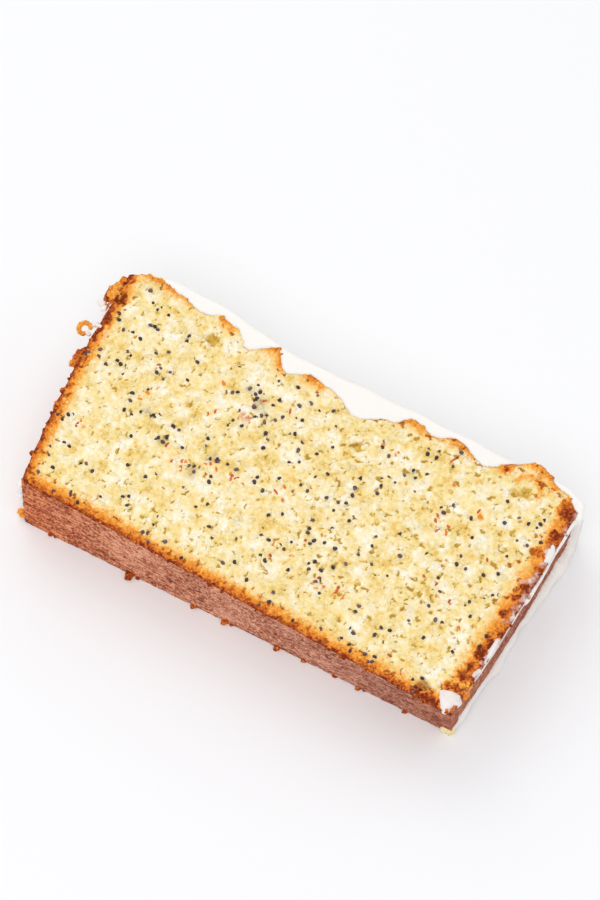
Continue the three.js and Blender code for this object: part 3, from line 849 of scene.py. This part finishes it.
def grainTree(sizes):  # small torn lumps of crumb, half sunk in the cut face, no two alike
    tree, add, size = newTree("crumbGrains", sizes)
    firm = add("GeometryNodeInputNamedAttribute", {"Name": "onCut"})
    for name, most in (("pit", 0.45), ("calm", 0.4)):
        known = add("GeometryNodeInputNamedAttribute", {"Name": name})
        less = add("FunctionNodeCompare", (known, most), operation="LESS_THAN")
        firm = add("ShaderNodeMath", (less, firm), operation="MULTIPLY")
    density = add("ShaderNodeMath", (size["Per square mm"], 1e6), operation="MULTIPLY")
    density = add("ShaderNodeMath", (density, firm), operation="MULTIPLY")
    dots = add("GeometryNodeDistributePointsOnFaces", {
        "Mesh": size["Geometry"], "Density": density, "Seed": size["Random seed"]})
    sink = add("ShaderNodeMath", (size["Sink"], -mm), operation="MULTIPLY")
    sunk = add("GeometryNodeSetPosition", {
        "Geometry": dots, "Offset": add("ShaderNodeCombineXYZ", {"Z": sink})})

    ball = add("GeometryNodeMeshIcoSphere", {"Radius": 0.5 * mm, "Subdivisions": 2})
    least, most = [add("ShaderNodeCombineXYZ", {"X": size[label], "Y": size[label], "Z": high})
                   for label, high in (("Smallest", 0.4), ("Largest", 0.8))]
    across = add("FunctionNodeRandomValue", {0: least, 1: most, "Seed": 3}, data_type="FLOAT_VECTOR")
    grains = scatter(add, sunk, ball, across, 0.5, 4, (1.0, 5))
    bumps = add("ShaderNodeTexNoise", {
        "Vector": add("GeometryNodeInputPosition"), "Scale": 1 / (0.9 * mm), "Detail": 2.0})
    move = add("ShaderNodeVectorMath", (bumps.outputs["Color"], (0.5, 0.5, 0.5)), operation="SUBTRACT")
    amount = add("ShaderNodeMath", (size["Roughness"], 2 * mm), operation="MULTIPLY")
    move = add("ShaderNodeVectorMath", {0: move, "Scale": amount}, operation="SCALE")
    rough = add("GeometryNodeSetPosition", {"Geometry": grains, "Offset": move})
    return finishTree(tree, add, rough, size["Material"])


grains = place("crumb_grains", grow("crumb_grains", cake, grainTree(grainScatter), grainScatter))
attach(grains, "root")
print("crumb grains:", countOf(grains.data), "triangles")


seedScatter = {
    "Length": 1.19,
    "Width": 1.0,
    "Height": 0.92,
    "Sink": -0.08,
    "Random seed": 11,
    "Material": seedCoat,
}


def landed(add, size, crumbObject, sink):  # the dots, fallen on the crumb and sunk into it by so many mm
    high = add("ShaderNodeVectorMath", (add("GeometryNodeInputPosition"), (0, 0, 10 * mm)), operation="ADD")
    ray = add("GeometryNodeRaycast", {
        "Target Geometry": add("GeometryNodeObjectInfo", {"Object": crumbObject}).outputs["Geometry"],
        "Source Position": high, "Ray Direction": (0, 0, -1), "Ray Length": 20 * mm})
    down = add("ShaderNodeCombineXYZ", {"Z": add("ShaderNodeMath", (sink, -mm), operation="MULTIPLY")})
    return add("GeometryNodeSetPosition", {
        "Geometry": size["Geometry"], "Position": ray.outputs["Hit Position"], "Offset": down})


def seedTree(sizes, crumbObject):  # kidney shaped seeds dropped on the crumb
    tree, add, size = newTree("poppySeeds", sizes)
    ball = add("GeometryNodeMeshIcoSphere", {"Radius": 0.5, "Subdivisions": 2})
    where = add("GeometryNodeInputPosition")
    axes = add("ShaderNodeSeparateXYZ", {"Vector": where})
    hollow = add("ShaderNodeMapRange", {  # the notch in one long side
        "Value": axes.outputs["Y"], "From Min": -0.5, "From Max": 0.0, "To Min": 0.14, "To Max": 0.0})
    middle = add("ShaderNodeMapRange", {
        "Value": add("ShaderNodeMath", (axes,), operation="ABSOLUTE"),
        "From Min": 0.0, "From Max": 0.35, "To Min": 1.0, "To Max": 0.0}, interpolation_type="SMOOTHSTEP")
    notch = add("ShaderNodeMath", (hollow, middle), operation="MULTIPLY")
    kidney = add("GeometryNodeSetPosition", {
        "Geometry": ball, "Offset": add("ShaderNodeCombineXYZ", {"Y": notch})})
    full = add("ShaderNodeCombineXYZ", {"X": size["Length"], "Y": size["Width"], "Z": size["Height"]})
    sized = add("ShaderNodeVectorMath", (where, full), operation="MULTIPLY")
    sized = add("ShaderNodeVectorMath", (sized, (mm, mm, mm)), operation="MULTIPLY")
    kidney = add("GeometryNodeSetPosition", {"Geometry": kidney, "Position": sized})

    sinkMost = add("FunctionNodeRandomValue", {2: -0.3, 3: 1.5, "Seed": 2}, data_type="FLOAT").outputs[1]
    dots = landed(add, size, crumbObject, weighted(add, size["Sink"], [(sinkMost, 0.25)]))
    big = add("FunctionNodeRandomValue", {2: 0.8, 3: 1.08, "Seed": 6}, data_type="FLOAT").outputs[1]
    seeds = scatter(add, dots, kidney, big, 0.7, size["Random seed"], (0.6, 8))
    return finishTree(tree, add, seeds, size["Material"])


seedXs, seedYs = np.array(seedSpots).T
dots = place("seedDots", meshFrom("seedDots", toFrame(seedXs, seedYs, loaf["thickness"]), []))
seeds = place("poppy_seeds", grow("poppy_seeds", dots, seedTree(seedScatter, cake), seedScatter))
drop(dots)
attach(seeds, "root")
print("poppy seeds:", len(seedXs), "seeds,", countOf(seeds.data), "triangles")


glaze = {
    "step": 0.45,  # length of its cells
    "fineSteps": 4000,  # points of a line before it is cut in equal cells
    "innerEvery": 5,  # its inner face, which nothing shows, has one row for so many of the outer one
    "lift": 0.8,  # it stops this far above the resting face
    "sink": 0.1,  # and this far below the cut
    "line": [  # smooth outer line of the cap: x, y
        (-63.4, 25), (-61.6, 28.9), (-58.5, 30.6), (-44.8, 31.7), (-33.5, 31.3), (-21, 29.5), (-11, 29.1),
        (3, 30), (15, 30.4), (30, 30.7), (42, 30.8), (50, 31.6), (56, 31.4), (61, 29.7), (62.8, 26),
    ],
    "rows": 46,
    "across": 8,  # steps over its cut face
    "edge": 0.45,  # rounding of its cut edges
    "tuck": 2.7,  # how far its edge dips where it meets the crumb
    "root": -1.2,  # its inner face lies this far inside the crust
    "bare": -0.9,  # and its outer face too, where there is none
    "skirt": {"left": 6.0, "right": 1.6},  # how far the cap reaches down each side
    "ripple": 0.25,
    "blend": 12,  # cells over which the cap takes up the thickness of each side
    "wrap": 2.0,  # how far it can run on round the corner of the base
    "bareCorner": {"inset": 3.0, "depth": 6.0, "width": 7.0},
    "runs": [  # glaze that ran down a side: side, middle z, end y, half width, thickness at each y
        ("right", 20.4, 1, 1.8, [(1, 0.8), (8, 0.6), (14, 0.42), (25, 0.55)]),
        ("right", 21, -21, 1.5, [(-21, 0.3), (5, 0.3)]),
        ("right", 2.3, -28, 2.6, [
            (-28, 0.8), (-24, 0.9), (-20, 0.6), (-15, 0.7), (-10, 1.5), (-3, 1.2), (1, 0.7), (6, 1.2),
            (12, 1.8), (18, 2.2), (22, 2.3), (26, 1.9)]),
        ("left", 12.2, -31.8, 3.4, [(-10, 2.1), (15, 1.9)]),
        ("left", 4.4, 4, 2.6, [(10, 1.7), (20, 1.4)]),
        ("left", 17.4, 13, 2.4, [(16, 1.1), (22, 0.8)]),
        ("left", 20.2, 11, 1.7, [(15, 0.5), (21, 0.3)]),
    ],
    "lobes": 0.2,  # how much the edges of a run wave
    "lumps": 0.17,
}


def runHeight(run, y, z):  # thickness of one run of glaze on a side, negative outside it
    _, middleZ, endY, halfWidth, known = run
    startY = glaze["line"][0][1]
    t = np.clip((startY - y) / (startY - endY), 0, 1)
    lobes = waves(y + 3 * middleZ, 0.3 * z, 8.3) + 0.5 * waves(1.3 * y, middleZ + 0.2 * z, 3.4)
    half = halfWidth * (1 - 0.2 * smooth(t, 0.1, 0.4) + 0.2 * smooth(t, 0.6, 0.9))
    half = half * (1 + glaze["lobes"] * lobes)
    toEnd = np.clip((y - endY) / halfWidth, -1, 1)
    tip = np.sqrt(np.clip(1 - (1 - np.clip(toEnd, 0, 1)) ** 2, 0, 1))
    middle = middleZ + 0.6 * np.sin(0.33 * y + middleZ)
    across = np.abs(z - middle) / np.maximum(half * tip, 0.15)
    dome = np.where(across < 1, np.clip(1 - across ** 2, 0, 1) ** 0.55, 1.5 * (1 - across))
    thick = lineAt(known, y) * (1 + glaze["lumps"] * waves(y + middleZ, 1.5 * z, 7.1))
    return np.where(toEnd > 0, thick * dome * (0.4 + 0.6 * tip), glaze["bare"] * 2)


def softMost(heights, softness=0.25):  # the largest of them, with soft joins
    return softness * np.log(np.sum(np.exp(np.array(heights) / softness), axis=0))


def recessAt(z):  # how far the glaze draws back under the bare upper left corner
    corner = glaze["bareCorner"]
    return corner["inset"] * smooth(z, loaf["thickness"] - corner["depth"], loaf["thickness"])


def sideColumns(side, levels):
    u, sign = (0.0, 1) if side == "left" else (1.0, -1)
    capX, capY = glaze["line"][0] if side == "left" else glaze["line"][-1]
    endY = loaf["crackedTop"][0 if side == "left" else -1][1]
    vCap = (capY - loaf["baseY"]) / (endY - loaf["baseY"])
    wrapSteps, sideSteps = 6, round((capY - loaf["baseY"]) / glaze["step"])
    wrap = np.linspace(glaze["wrap"], 0, wrapSteps, endpoint=False)
    us = np.concatenate([u + sign * wrap / loaf["baseWidth"], np.full(sideSteps, u)])
    vs = np.concatenate([np.zeros(wrapSteps), np.linspace(0, vCap, sideSteps)])
    x, y = slicePoint(us[:, None], vs[:, None], levels[None, :])
    x, y = np.broadcast_arrays(x, y)
    kernel = np.array([1, 2, 3, 2, 1]) / 9  # rounds the corner of the base
    soften = lambda row: np.convolve(np.pad(row, 2, mode="reflect", reflect_type="odd"), kernel, "valid")
    x, y = [np.array([soften(row) for row in part.T]).T for part in (x, y)]
    alongX, alongY = np.gradient(x, axis=0), np.gradient(y, axis=0)
    length = np.hypot(alongX, alongY)
    outX, outY = -sign * alongY / length, sign * alongX / length
    far = y - np.concatenate([wrap, np.zeros(sideSteps)])[:, None]
    z = np.broadcast_to(levels[None, :], x.shape)
    capThick = abs(capX - x[-1, 0])
    lapY = capY - glaze["skirt"][side] * (1 + 0.4 * waves(2 * z, 5, 13))
    heights = [glaze["bare"] + (capThick - glaze["bare"]) * np.clip((y - lapY) / (capY - lapY), 0, 1)]
    heights += [runHeight(run, far, z) for run in glaze["runs"] if run[0] == side]
    thick = softMost(heights)
    if side == "left":
        thick = thick - recessAt(z) * smooth(y, capY - glaze["bareCorner"]["width"], capY)
    thick = np.maximum(thick, glaze["bare"])
    inner = (x + glaze["root"] * outX, y + glaze["root"] * outY)
    return inner, (x + thick * outX, y + thick * outY), thick


def capColumns(levels):
    crest, line = loaf["crackedTop"], glaze["line"]
    count = round((line[-1][0] - line[0][0]) / glaze["step"])
    fineX = np.linspace(line[0][0], line[-1][0], glaze["fineSteps"])
    outX, outY = evenly(fineX, lineAt(line, fineX), count)
    crestX = np.linspace(crest[0][0] - glaze["root"], crest[-1][0] + glaze["root"], glaze["fineSteps"])
    inX, inY = evenly(crestX, lineAt(crest, crestX) + glaze["root"], count)
    z = levels[None, :]
    leftX = line[0][0]
    recess = recessAt(z) * (1 - smooth(outX[:, None], leftX, leftX + glaze["bareCorner"]["width"]))
    x = outX[:, None] + recess
    y = outY[:, None] - recess + glaze["ripple"] * waves(outX[:, None], z, 14)
    inner = tuple(np.broadcast_to(a[:, None], x.shape) for a in (inX, inY))
    bareY = lineAt(crest, x) + crestLift(x, z)  # the cap stays under the bare crest
    inside = smooth(x, crest[0][0] - 0.2, crest[0][0] + 0.6)
    inside = inside * (1 - smooth(x, crest[-1][0] - 0.6, crest[-1][0] + 0.2))
    hidden = smooth(bareY - y, -0.6, 0.4) * inside
    y = y + (np.minimum(y, bareY + glaze["bare"]) - y) * hidden
    thick = np.where(hidden > 0.5, y - bareY, np.hypot(x - inner[0], y - inner[1]) + glaze["root"])
    return inner, (x, y), thick


def glazeMesh():
    rows, edge = glaze["rows"], glaze["edge"]
    low, high = glaze["lift"], loaf["thickness"] - glaze["sink"]
    levels = np.linspace(low, high, rows)
    parts = [sideColumns("left", levels), capColumns(levels), sideColumns("right", levels)]
    flat = [[*inner, *outer, thick] for inner, outer, thick in parts]
    for cap, side, end in ((0, flat[0], 0), (-1, flat[2], -1)):  # the cap starts where each side ends
        fade = 1 - smooth(np.abs(np.arange(len(flat[1][2])) - (end % len(flat[1][2]))), 0, glaze["blend"])
        for axis in (2, 3):
            flat[1][axis] = flat[1][axis] + fade[:, None] * (side[axis][-1] - flat[1][axis][cap])[None, :]
    flat[1] = [part[1:-1] for part in flat[1]]
    flat[2] = [np.flip(part, 0) for part in flat[2]]
    inX, inY, outX, outY, thick = [np.concatenate(group) for group in zip(*flat)]
    fromEdge = np.clip(np.minimum(levels - low, high - levels) / edge, 0, 1)
    pulled = edge * (1 - np.sqrt(1 - (1 - fromEdge) ** 2))[None, :]
    length = np.maximum(np.hypot(outX - inX, outY - inY), 1e-6)
    share = np.clip(1 - pulled / length, 0.3, 1)
    outX, outY = inX + (outX - inX) * share, inY + (outY - inY) * share

    # a closed loop of points for each column: up its outer face, in over the cut, down its inner face
    def dipped(x, y, level):  # it dips under the crumb where they meet
        return np.minimum(level, high - glaze["tuck"] * smooth(crumbDepth(x, y), -0.1, 0.9))

    loops = [(outX[:, k], outY[:, k], dipped(outX[:, k], outY[:, k], levels[k]), thick[:, k])
             for k in range(rows)]
    for share in np.linspace(1, 0, glaze["across"] + 1)[1:]:
        x = inX[:, -1] + (outX[:, -1] - inX[:, -1]) * share
        y = inY[:, -1] + (outY[:, -1] - inY[:, -1]) * share
        loops.append((x, y, dipped(x, y, high), thick[:, -1]))
    for k in range(rows - 1 - glaze["innerEvery"], -1, -glaze["innerEvery"]):
        loops.append((inX[:, k], inY[:, k], levels[k], thick[:, k]))
    loops.append(((inX[:, 0] + outX[:, 0]) * 0.5, (inY[:, 0] + outY[:, 0]) * 0.5, low, thick[:, 0]))
    points = np.concatenate([toFrame(x, y, z) for x, y, z, _ in loops])
    filmAndShade = np.concatenate([t for *_, t in loops])
    columns, around = len(inX), len(loops)
    faces = []
    for k in range(around):
        above = (k + 1) % around
        for c in range(columns - 1):
            faces.append((k * columns + c, above * columns + c, above * columns + c + 1, k * columns + c + 1))
    faces.append(tuple(k * columns for k in range(around - 1, -1, -1)))
    faces.append(tuple(k * columns + columns - 1 for k in range(around)))
    mesh = meshFrom("glaze", points, faces)
    low = smooth(points[:, 2] / mm, 0, 12)
    setValues(mesh, "filmAndShade", smooth(filmAndShade, -0.1, 0.7) * (0.35 + 0.65 * low))  # thin glaze shows the crumb; painted shade makes it darker towards the floor
    mesh.materials.append(sugar)
    return mesh


coat = place("glaze_coat", glazeMesh())
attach(coat, "root")
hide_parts("glaze")
print("glaze:", countOf(coat.data), "triangles")


dropSizes = {
    "middle": (56.8, -27.6, 22.0),
    "half": (2.5, 1.75, 0.7),
    "turn": 0.1,
    "lean": (0.18, 0.16),  # it slumps over the corner
    "uneven": 0.1,
    "lobes": [  # direction, reach, half width
        (-92, 1.0, 24), (152, 0.25, 26), (60, 0.22, 28), (8, 0.15, 20)],
}


def ballPoints(subdivisions):  # a round ball's points and faces
    form = bmesh.new()
    bmesh.ops.create_icosphere(form, subdivisions=subdivisions, radius=1)
    points = np.array([vertex.co[:] for vertex in form.verts])
    faces = [tuple(vertex.index for vertex in face.verts) for face in form.faces]
    form.free()
    return points, faces


def lumpPoints(ball, middle, half, turn, uneven, size):  # the ball made a lump, in mm of the slice
    points = ball * np.array(half)
    start = Vector(middle)
    rough = [noise.noise(Vector(p / size) + start) + 0.6 * noise.noise(Vector(p / size * 2.3) + start)
             for p in points]
    points = points * (1 + uneven * np.array(rough))[:, None]
    c, s = math.cos(turn), math.sin(turn)
    return points @ np.array([[c, s, 0], [-s, c, 0], [0, 0, 1]]) + np.array(middle), np.array(rough)


def dropMesh():
    ball, faces = ballPoints(5)
    around = np.degrees(np.arctan2(ball[:, 1], ball[:, 0]))
    reach = np.ones(len(ball))
    for direction, far, halfWidth in dropSizes["lobes"]:
        apart = (around - direction + 180) % 360 - 180
        reach += far * np.exp(-((apart / halfWidth) ** 2)) * (1 - ball[:, 2] ** 2)
    ball = ball * np.stack([reach, reach, np.ones(len(ball))], -1)
    points, _ = lumpPoints(
        ball, dropSizes["middle"], dropSizes["half"], dropSizes["turn"], dropSizes["uneven"], 1.6)
    away = points - np.array(dropSizes["middle"])
    points[:, 2] -= dropSizes["lean"][0] * away[:, 0] - dropSizes["lean"][1] * away[:, 1]
    mesh = meshFrom("glaze_blob", toFrame(*points.T), faces)
    # a thin glaze, drawn darker as painted shade
    setValues(mesh, "filmAndShade", np.full(len(points), 0.27))
    mesh.materials.append(sugar)
    return mesh


blob = place("glaze_blob", dropMesh())
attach(blob, "root")
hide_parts("glaze_drop")
print("glaze drop:", countOf(blob.data), "triangles")


crustLumps = {
    "crags": [  # x, y, z, half sizes, browning
        (-61.8, 22.2, 20.2, 1.9, 2.7, 2.2, 0.42), (-63.2, 21.6, 19.4, 1.0, 2.4, 1.8, 0.1),
        (-61.3, 18.6, 19.8, 0.9, 1.7, 1.6, 0.14), (-61.6, 25.4, 20.4, 1.1, 1.3, 1.6, 0.3),
        (-60.3, 3.2, 20.4, 1.6, 2.5, 1.5, 0.14), (-61.0, 1.2, 20.2, 0.9, 1.0, 0.9, 0.3),
        (-58.4, -9.5, 20.6, 0.9, 1.7, 0.9, 0.2), (-56.4, -32.0, 1.4, 1.3, 1.0, 1.2, 0.35),
        (58.6, -22.3, 21.3, 0.9, 1.1, 0.8, 0.42), (59.1, -24.3, 21.3, 0.9, 1.3, 0.8, 0.34),
        (57.6, -23.2, 21.8, 0.8, 0.7, 0.6, 0.5), (57.6, -27.8, 2.1, 1.8, 1.6, 1.8, 1.0),
    ],
    "hook": {"middle": (-63.4, 10.2, 20.4), "radius": 1.45, "half": 0.66, "from": 50, "to": 285, "lumps": 7},
    "baseCrumbs": [  # x, half length
        (-48, 0.7), (-46.6, 0.4), (-26, 1.4), (-24.1, 0.6), (-9, 0.9), (-0.5, 1.1), (1.2, 0.5),
        (13.5, 1.1), (20.5, 0.8), (28.6, 0.7), (34.8, 0.9), (36.3, 0.45), (47, 0.8),
    ],
    "squash": 0.7,  # their width and height, as a share of the length
    "uneven": 0.38,
}


def lumpMesh(name, lumps, uneven, material):  # lumps: middle, half sizes, turn, browning
    ball, ballFaces = ballPoints(4)
    points, faces, browning, pit = [], [], [], []
    for middle, half, turn, brown in lumps:
        shaped, rough = lumpPoints(ball, middle, half, turn, uneven, 0.8)
        shaped[:, 2] = np.maximum(shaped[:, 2], 0.02)
        first = sum(len(part) for part in points)
        faces += [tuple(first + n for n in face) for face in ballFaces]
        points.append(shaped)
        browning.append(np.full(len(shaped), brown))
        # painted shade in the hollows of each lump, as in the crumb's pits
        pit.append(np.clip(-0.9 * rough, 0, 1))
    points = np.concatenate(points)
    mesh = meshFrom(name, toFrame(*points.T), faces)
    setValues(mesh, "browning", np.concatenate(browning))
    setValues(mesh, "pit", np.concatenate(pit))
    setValues(mesh, "shade", np.full(len(points), 0.5))
    mesh.materials.append(material)
    return mesh


def crustLumpList():
    lumps = [(crag[:3], crag[3:6], 0.0, crag[6]) for crag in crustLumps["crags"]]
    hook = crustLumps["hook"]
    for k in range(hook["lumps"]):
        angle = math.radians(hook["from"] + (hook["to"] - hook["from"]) * k / (hook["lumps"] - 1))
        x, y, z = hook["middle"]
        middle = (x + hook["radius"] * math.cos(angle), y + hook["radius"] * math.sin(angle), z)
        lumps.append((middle, (hook["half"] * 1.2, hook["half"] * 0.9, hook["half"]), angle + 1.57, 0.4))
    for x, half in crustLumps["baseCrumbs"]:
        u = 0.5 + (x - loaf["baseMiddleX"]) / loaf["baseWidth"]
        twist = loaf["lowerShift"] + loaf["lowerTwist"] * u
        low = crustLumps["squash"] * half
        lumps.append(((x, loaf["baseY"] + twist - 0.4 * low, 1.1 * low), (half, low, low), half, 0.1))
    return lumps


lumps = place("crust_lumps", lumpMesh("crust_lumps", crustLumpList(), crustLumps["uneven"], openCrumb))
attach(lumps, "root")
print("crust lumps:", countOf(lumps.data), "triangles")


glazeBits = {
    "bits": [  # x, y, z, half sizes, turn: splashes and smears that dried on the crust
        (-63.5, 18.1, 19.8, 1.2, 0.8, 0.9, 0.3), (-62.2, 17.0, 20.2, 1.0, 0.8, 0.8, 1.0),
        (-61.2, 15.8, 20.6, 0.8, 0.8, 0.7, 0.0), (-61.6, 12.2, 20.9, 0.9, 0.7, 0.7, 0.6),
        (-60.4, 12.0, 21.6, 0.8, 0.5, 0.5, 0.2), (-62.2, 9.4, 20.3, 1.0, 0.6, 0.6, 0.1),
        (-56.0, -30.6, 13.8, 0.9, 1.1, 1.7, 0.0), (-55.7, -31.3, 9.4, 0.8, 1.0, 2.0, 0.2),
        (60.0, 14.4, 21.85, 0.9, 2.5, 0.55, 0.1), (59.45, -12.4, 21.85, 0.6, 2.6, 0.5, 0.04),
    ],
    "uneven": 0.25,
}
bitList = [(bit[:3], bit[3:6], bit[6], 0.0) for bit in glazeBits["bits"]]
bits = place("glaze_bits", lumpMesh("glaze_bits", bitList, glazeBits["uneven"], sugar))
setValues(bits.data, "filmAndShade", np.full(len(bits.data.vertices), 0.4))
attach(bits, "root")
print("glaze bits:", countOf(bits.data), "triangles")


peelRule = {
    "draw": 991,
    "loose": 24,
    "groups": [  # x, y, how many: most of them lie together
        (-25.7, -8.1, 5), (-20, -6, 5), (-12, -4.5, 5), (-2, -3, 4), (4.8, -16.8, 3), (17.2, -18.6, 4),
        (22.9, -17, 4), (35, 8, 3), (-40, 2, 3), (41, -6, 3), (-16, 13, 2), (42, 14.6, 3), (-50, -12, 2),
    ],
    "spread": 1.9,
    "pith": [(-17.5, 8.7, 7), (-18.6, 9.3, 3)],  # pale pink fibres of one larger piece
    "pithSpread": 0.8,
}
peelScatter = {
    "Length": 1.9,
    "Width": 0.85,
    "Height": 0.4,
    "Sink": -0.04,
    "Random seed": 21,
    "Material": peel,
}


def peelPlaces():  # x, y and tone of each shred, from pink pith over brown red to orange
    draw = makeDraw(peelRule["draw"])
    shreds = []
    for _ in range(peelRule["loose"]):
        x, y = sectionPoint(0.05 + 0.88 * draw(), 0.08 + 0.84 * draw())
        shreds.append((float(x), float(y), 0.15 + 0.85 * draw()))
    for groups, spread, low, high in (
            (peelRule["groups"], peelRule["spread"], 0.15, 1.0),
            (peelRule["pith"], peelRule["pithSpread"], 0.0, 0.17)):
        for x, y, count in groups:
            for _ in range(count):
                strayX, strayY = [spread * (2 * draw() - 1) for _ in range(2)]
                shreds.append((x + strayX, y + strayY, low + (high - low) * draw()))
    return shreds


def peelTree(sizes, crumbObject):  # curled shreds, lying on the crumb and bent into it
    tree, add, size = newTree("peelShreds", sizes)
    ball = add("GeometryNodeMeshIcoSphere", {"Radius": 0.5, "Subdivisions": 2})
    full = add("ShaderNodeCombineXYZ", {"X": size["Length"], "Y": size["Width"], "Z": size["Height"]})
    full = add("ShaderNodeVectorMath", (full, (mm, mm, mm)), operation="MULTIPLY")
    small = add("ShaderNodeVectorMath", (full, (0.4, 0.6, 0.8)), operation="MULTIPLY")
    across = add("FunctionNodeRandomValue", {0: small, 1: full, "Seed": 22}, data_type="FLOAT_VECTOR")
    dots = landed(add, size, crumbObject, size["Sink"])
    shreds = scatter(add, dots, ball, across, 0.5, size["Random seed"])
    bends = add("ShaderNodeTexNoise", {"Vector": add("GeometryNodeInputPosition"), "Scale": 1 / (0.8 * mm)})
    bend = add("ShaderNodeVectorMath", (
        bends.outputs["Color"], (0.7 * mm, 0.7 * mm, 0.5 * mm),
        (-0.35 * mm, -0.35 * mm, -0.25 * mm)), operation="MULTIPLY_ADD")
    bent = add("GeometryNodeSetPosition", {"Geometry": shreds, "Offset": bend})
    return finishTree(tree, add, bent, size["Material"])


peelXs, peelYs, peelTones = np.array(peelPlaces()).T
dots = place("peelDots", meshFrom("peelDots", toFrame(peelXs, peelYs, loaf["thickness"]), []))
setValues(dots.data, "shade", peelTones)
shreds = place("peel_shreds", grow("peel_shreds", dots, peelTree(peelScatter, cake), peelScatter))
drop(dots)
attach(shreds, "root")
print("peel:", countOf(shreds.data), "triangles")
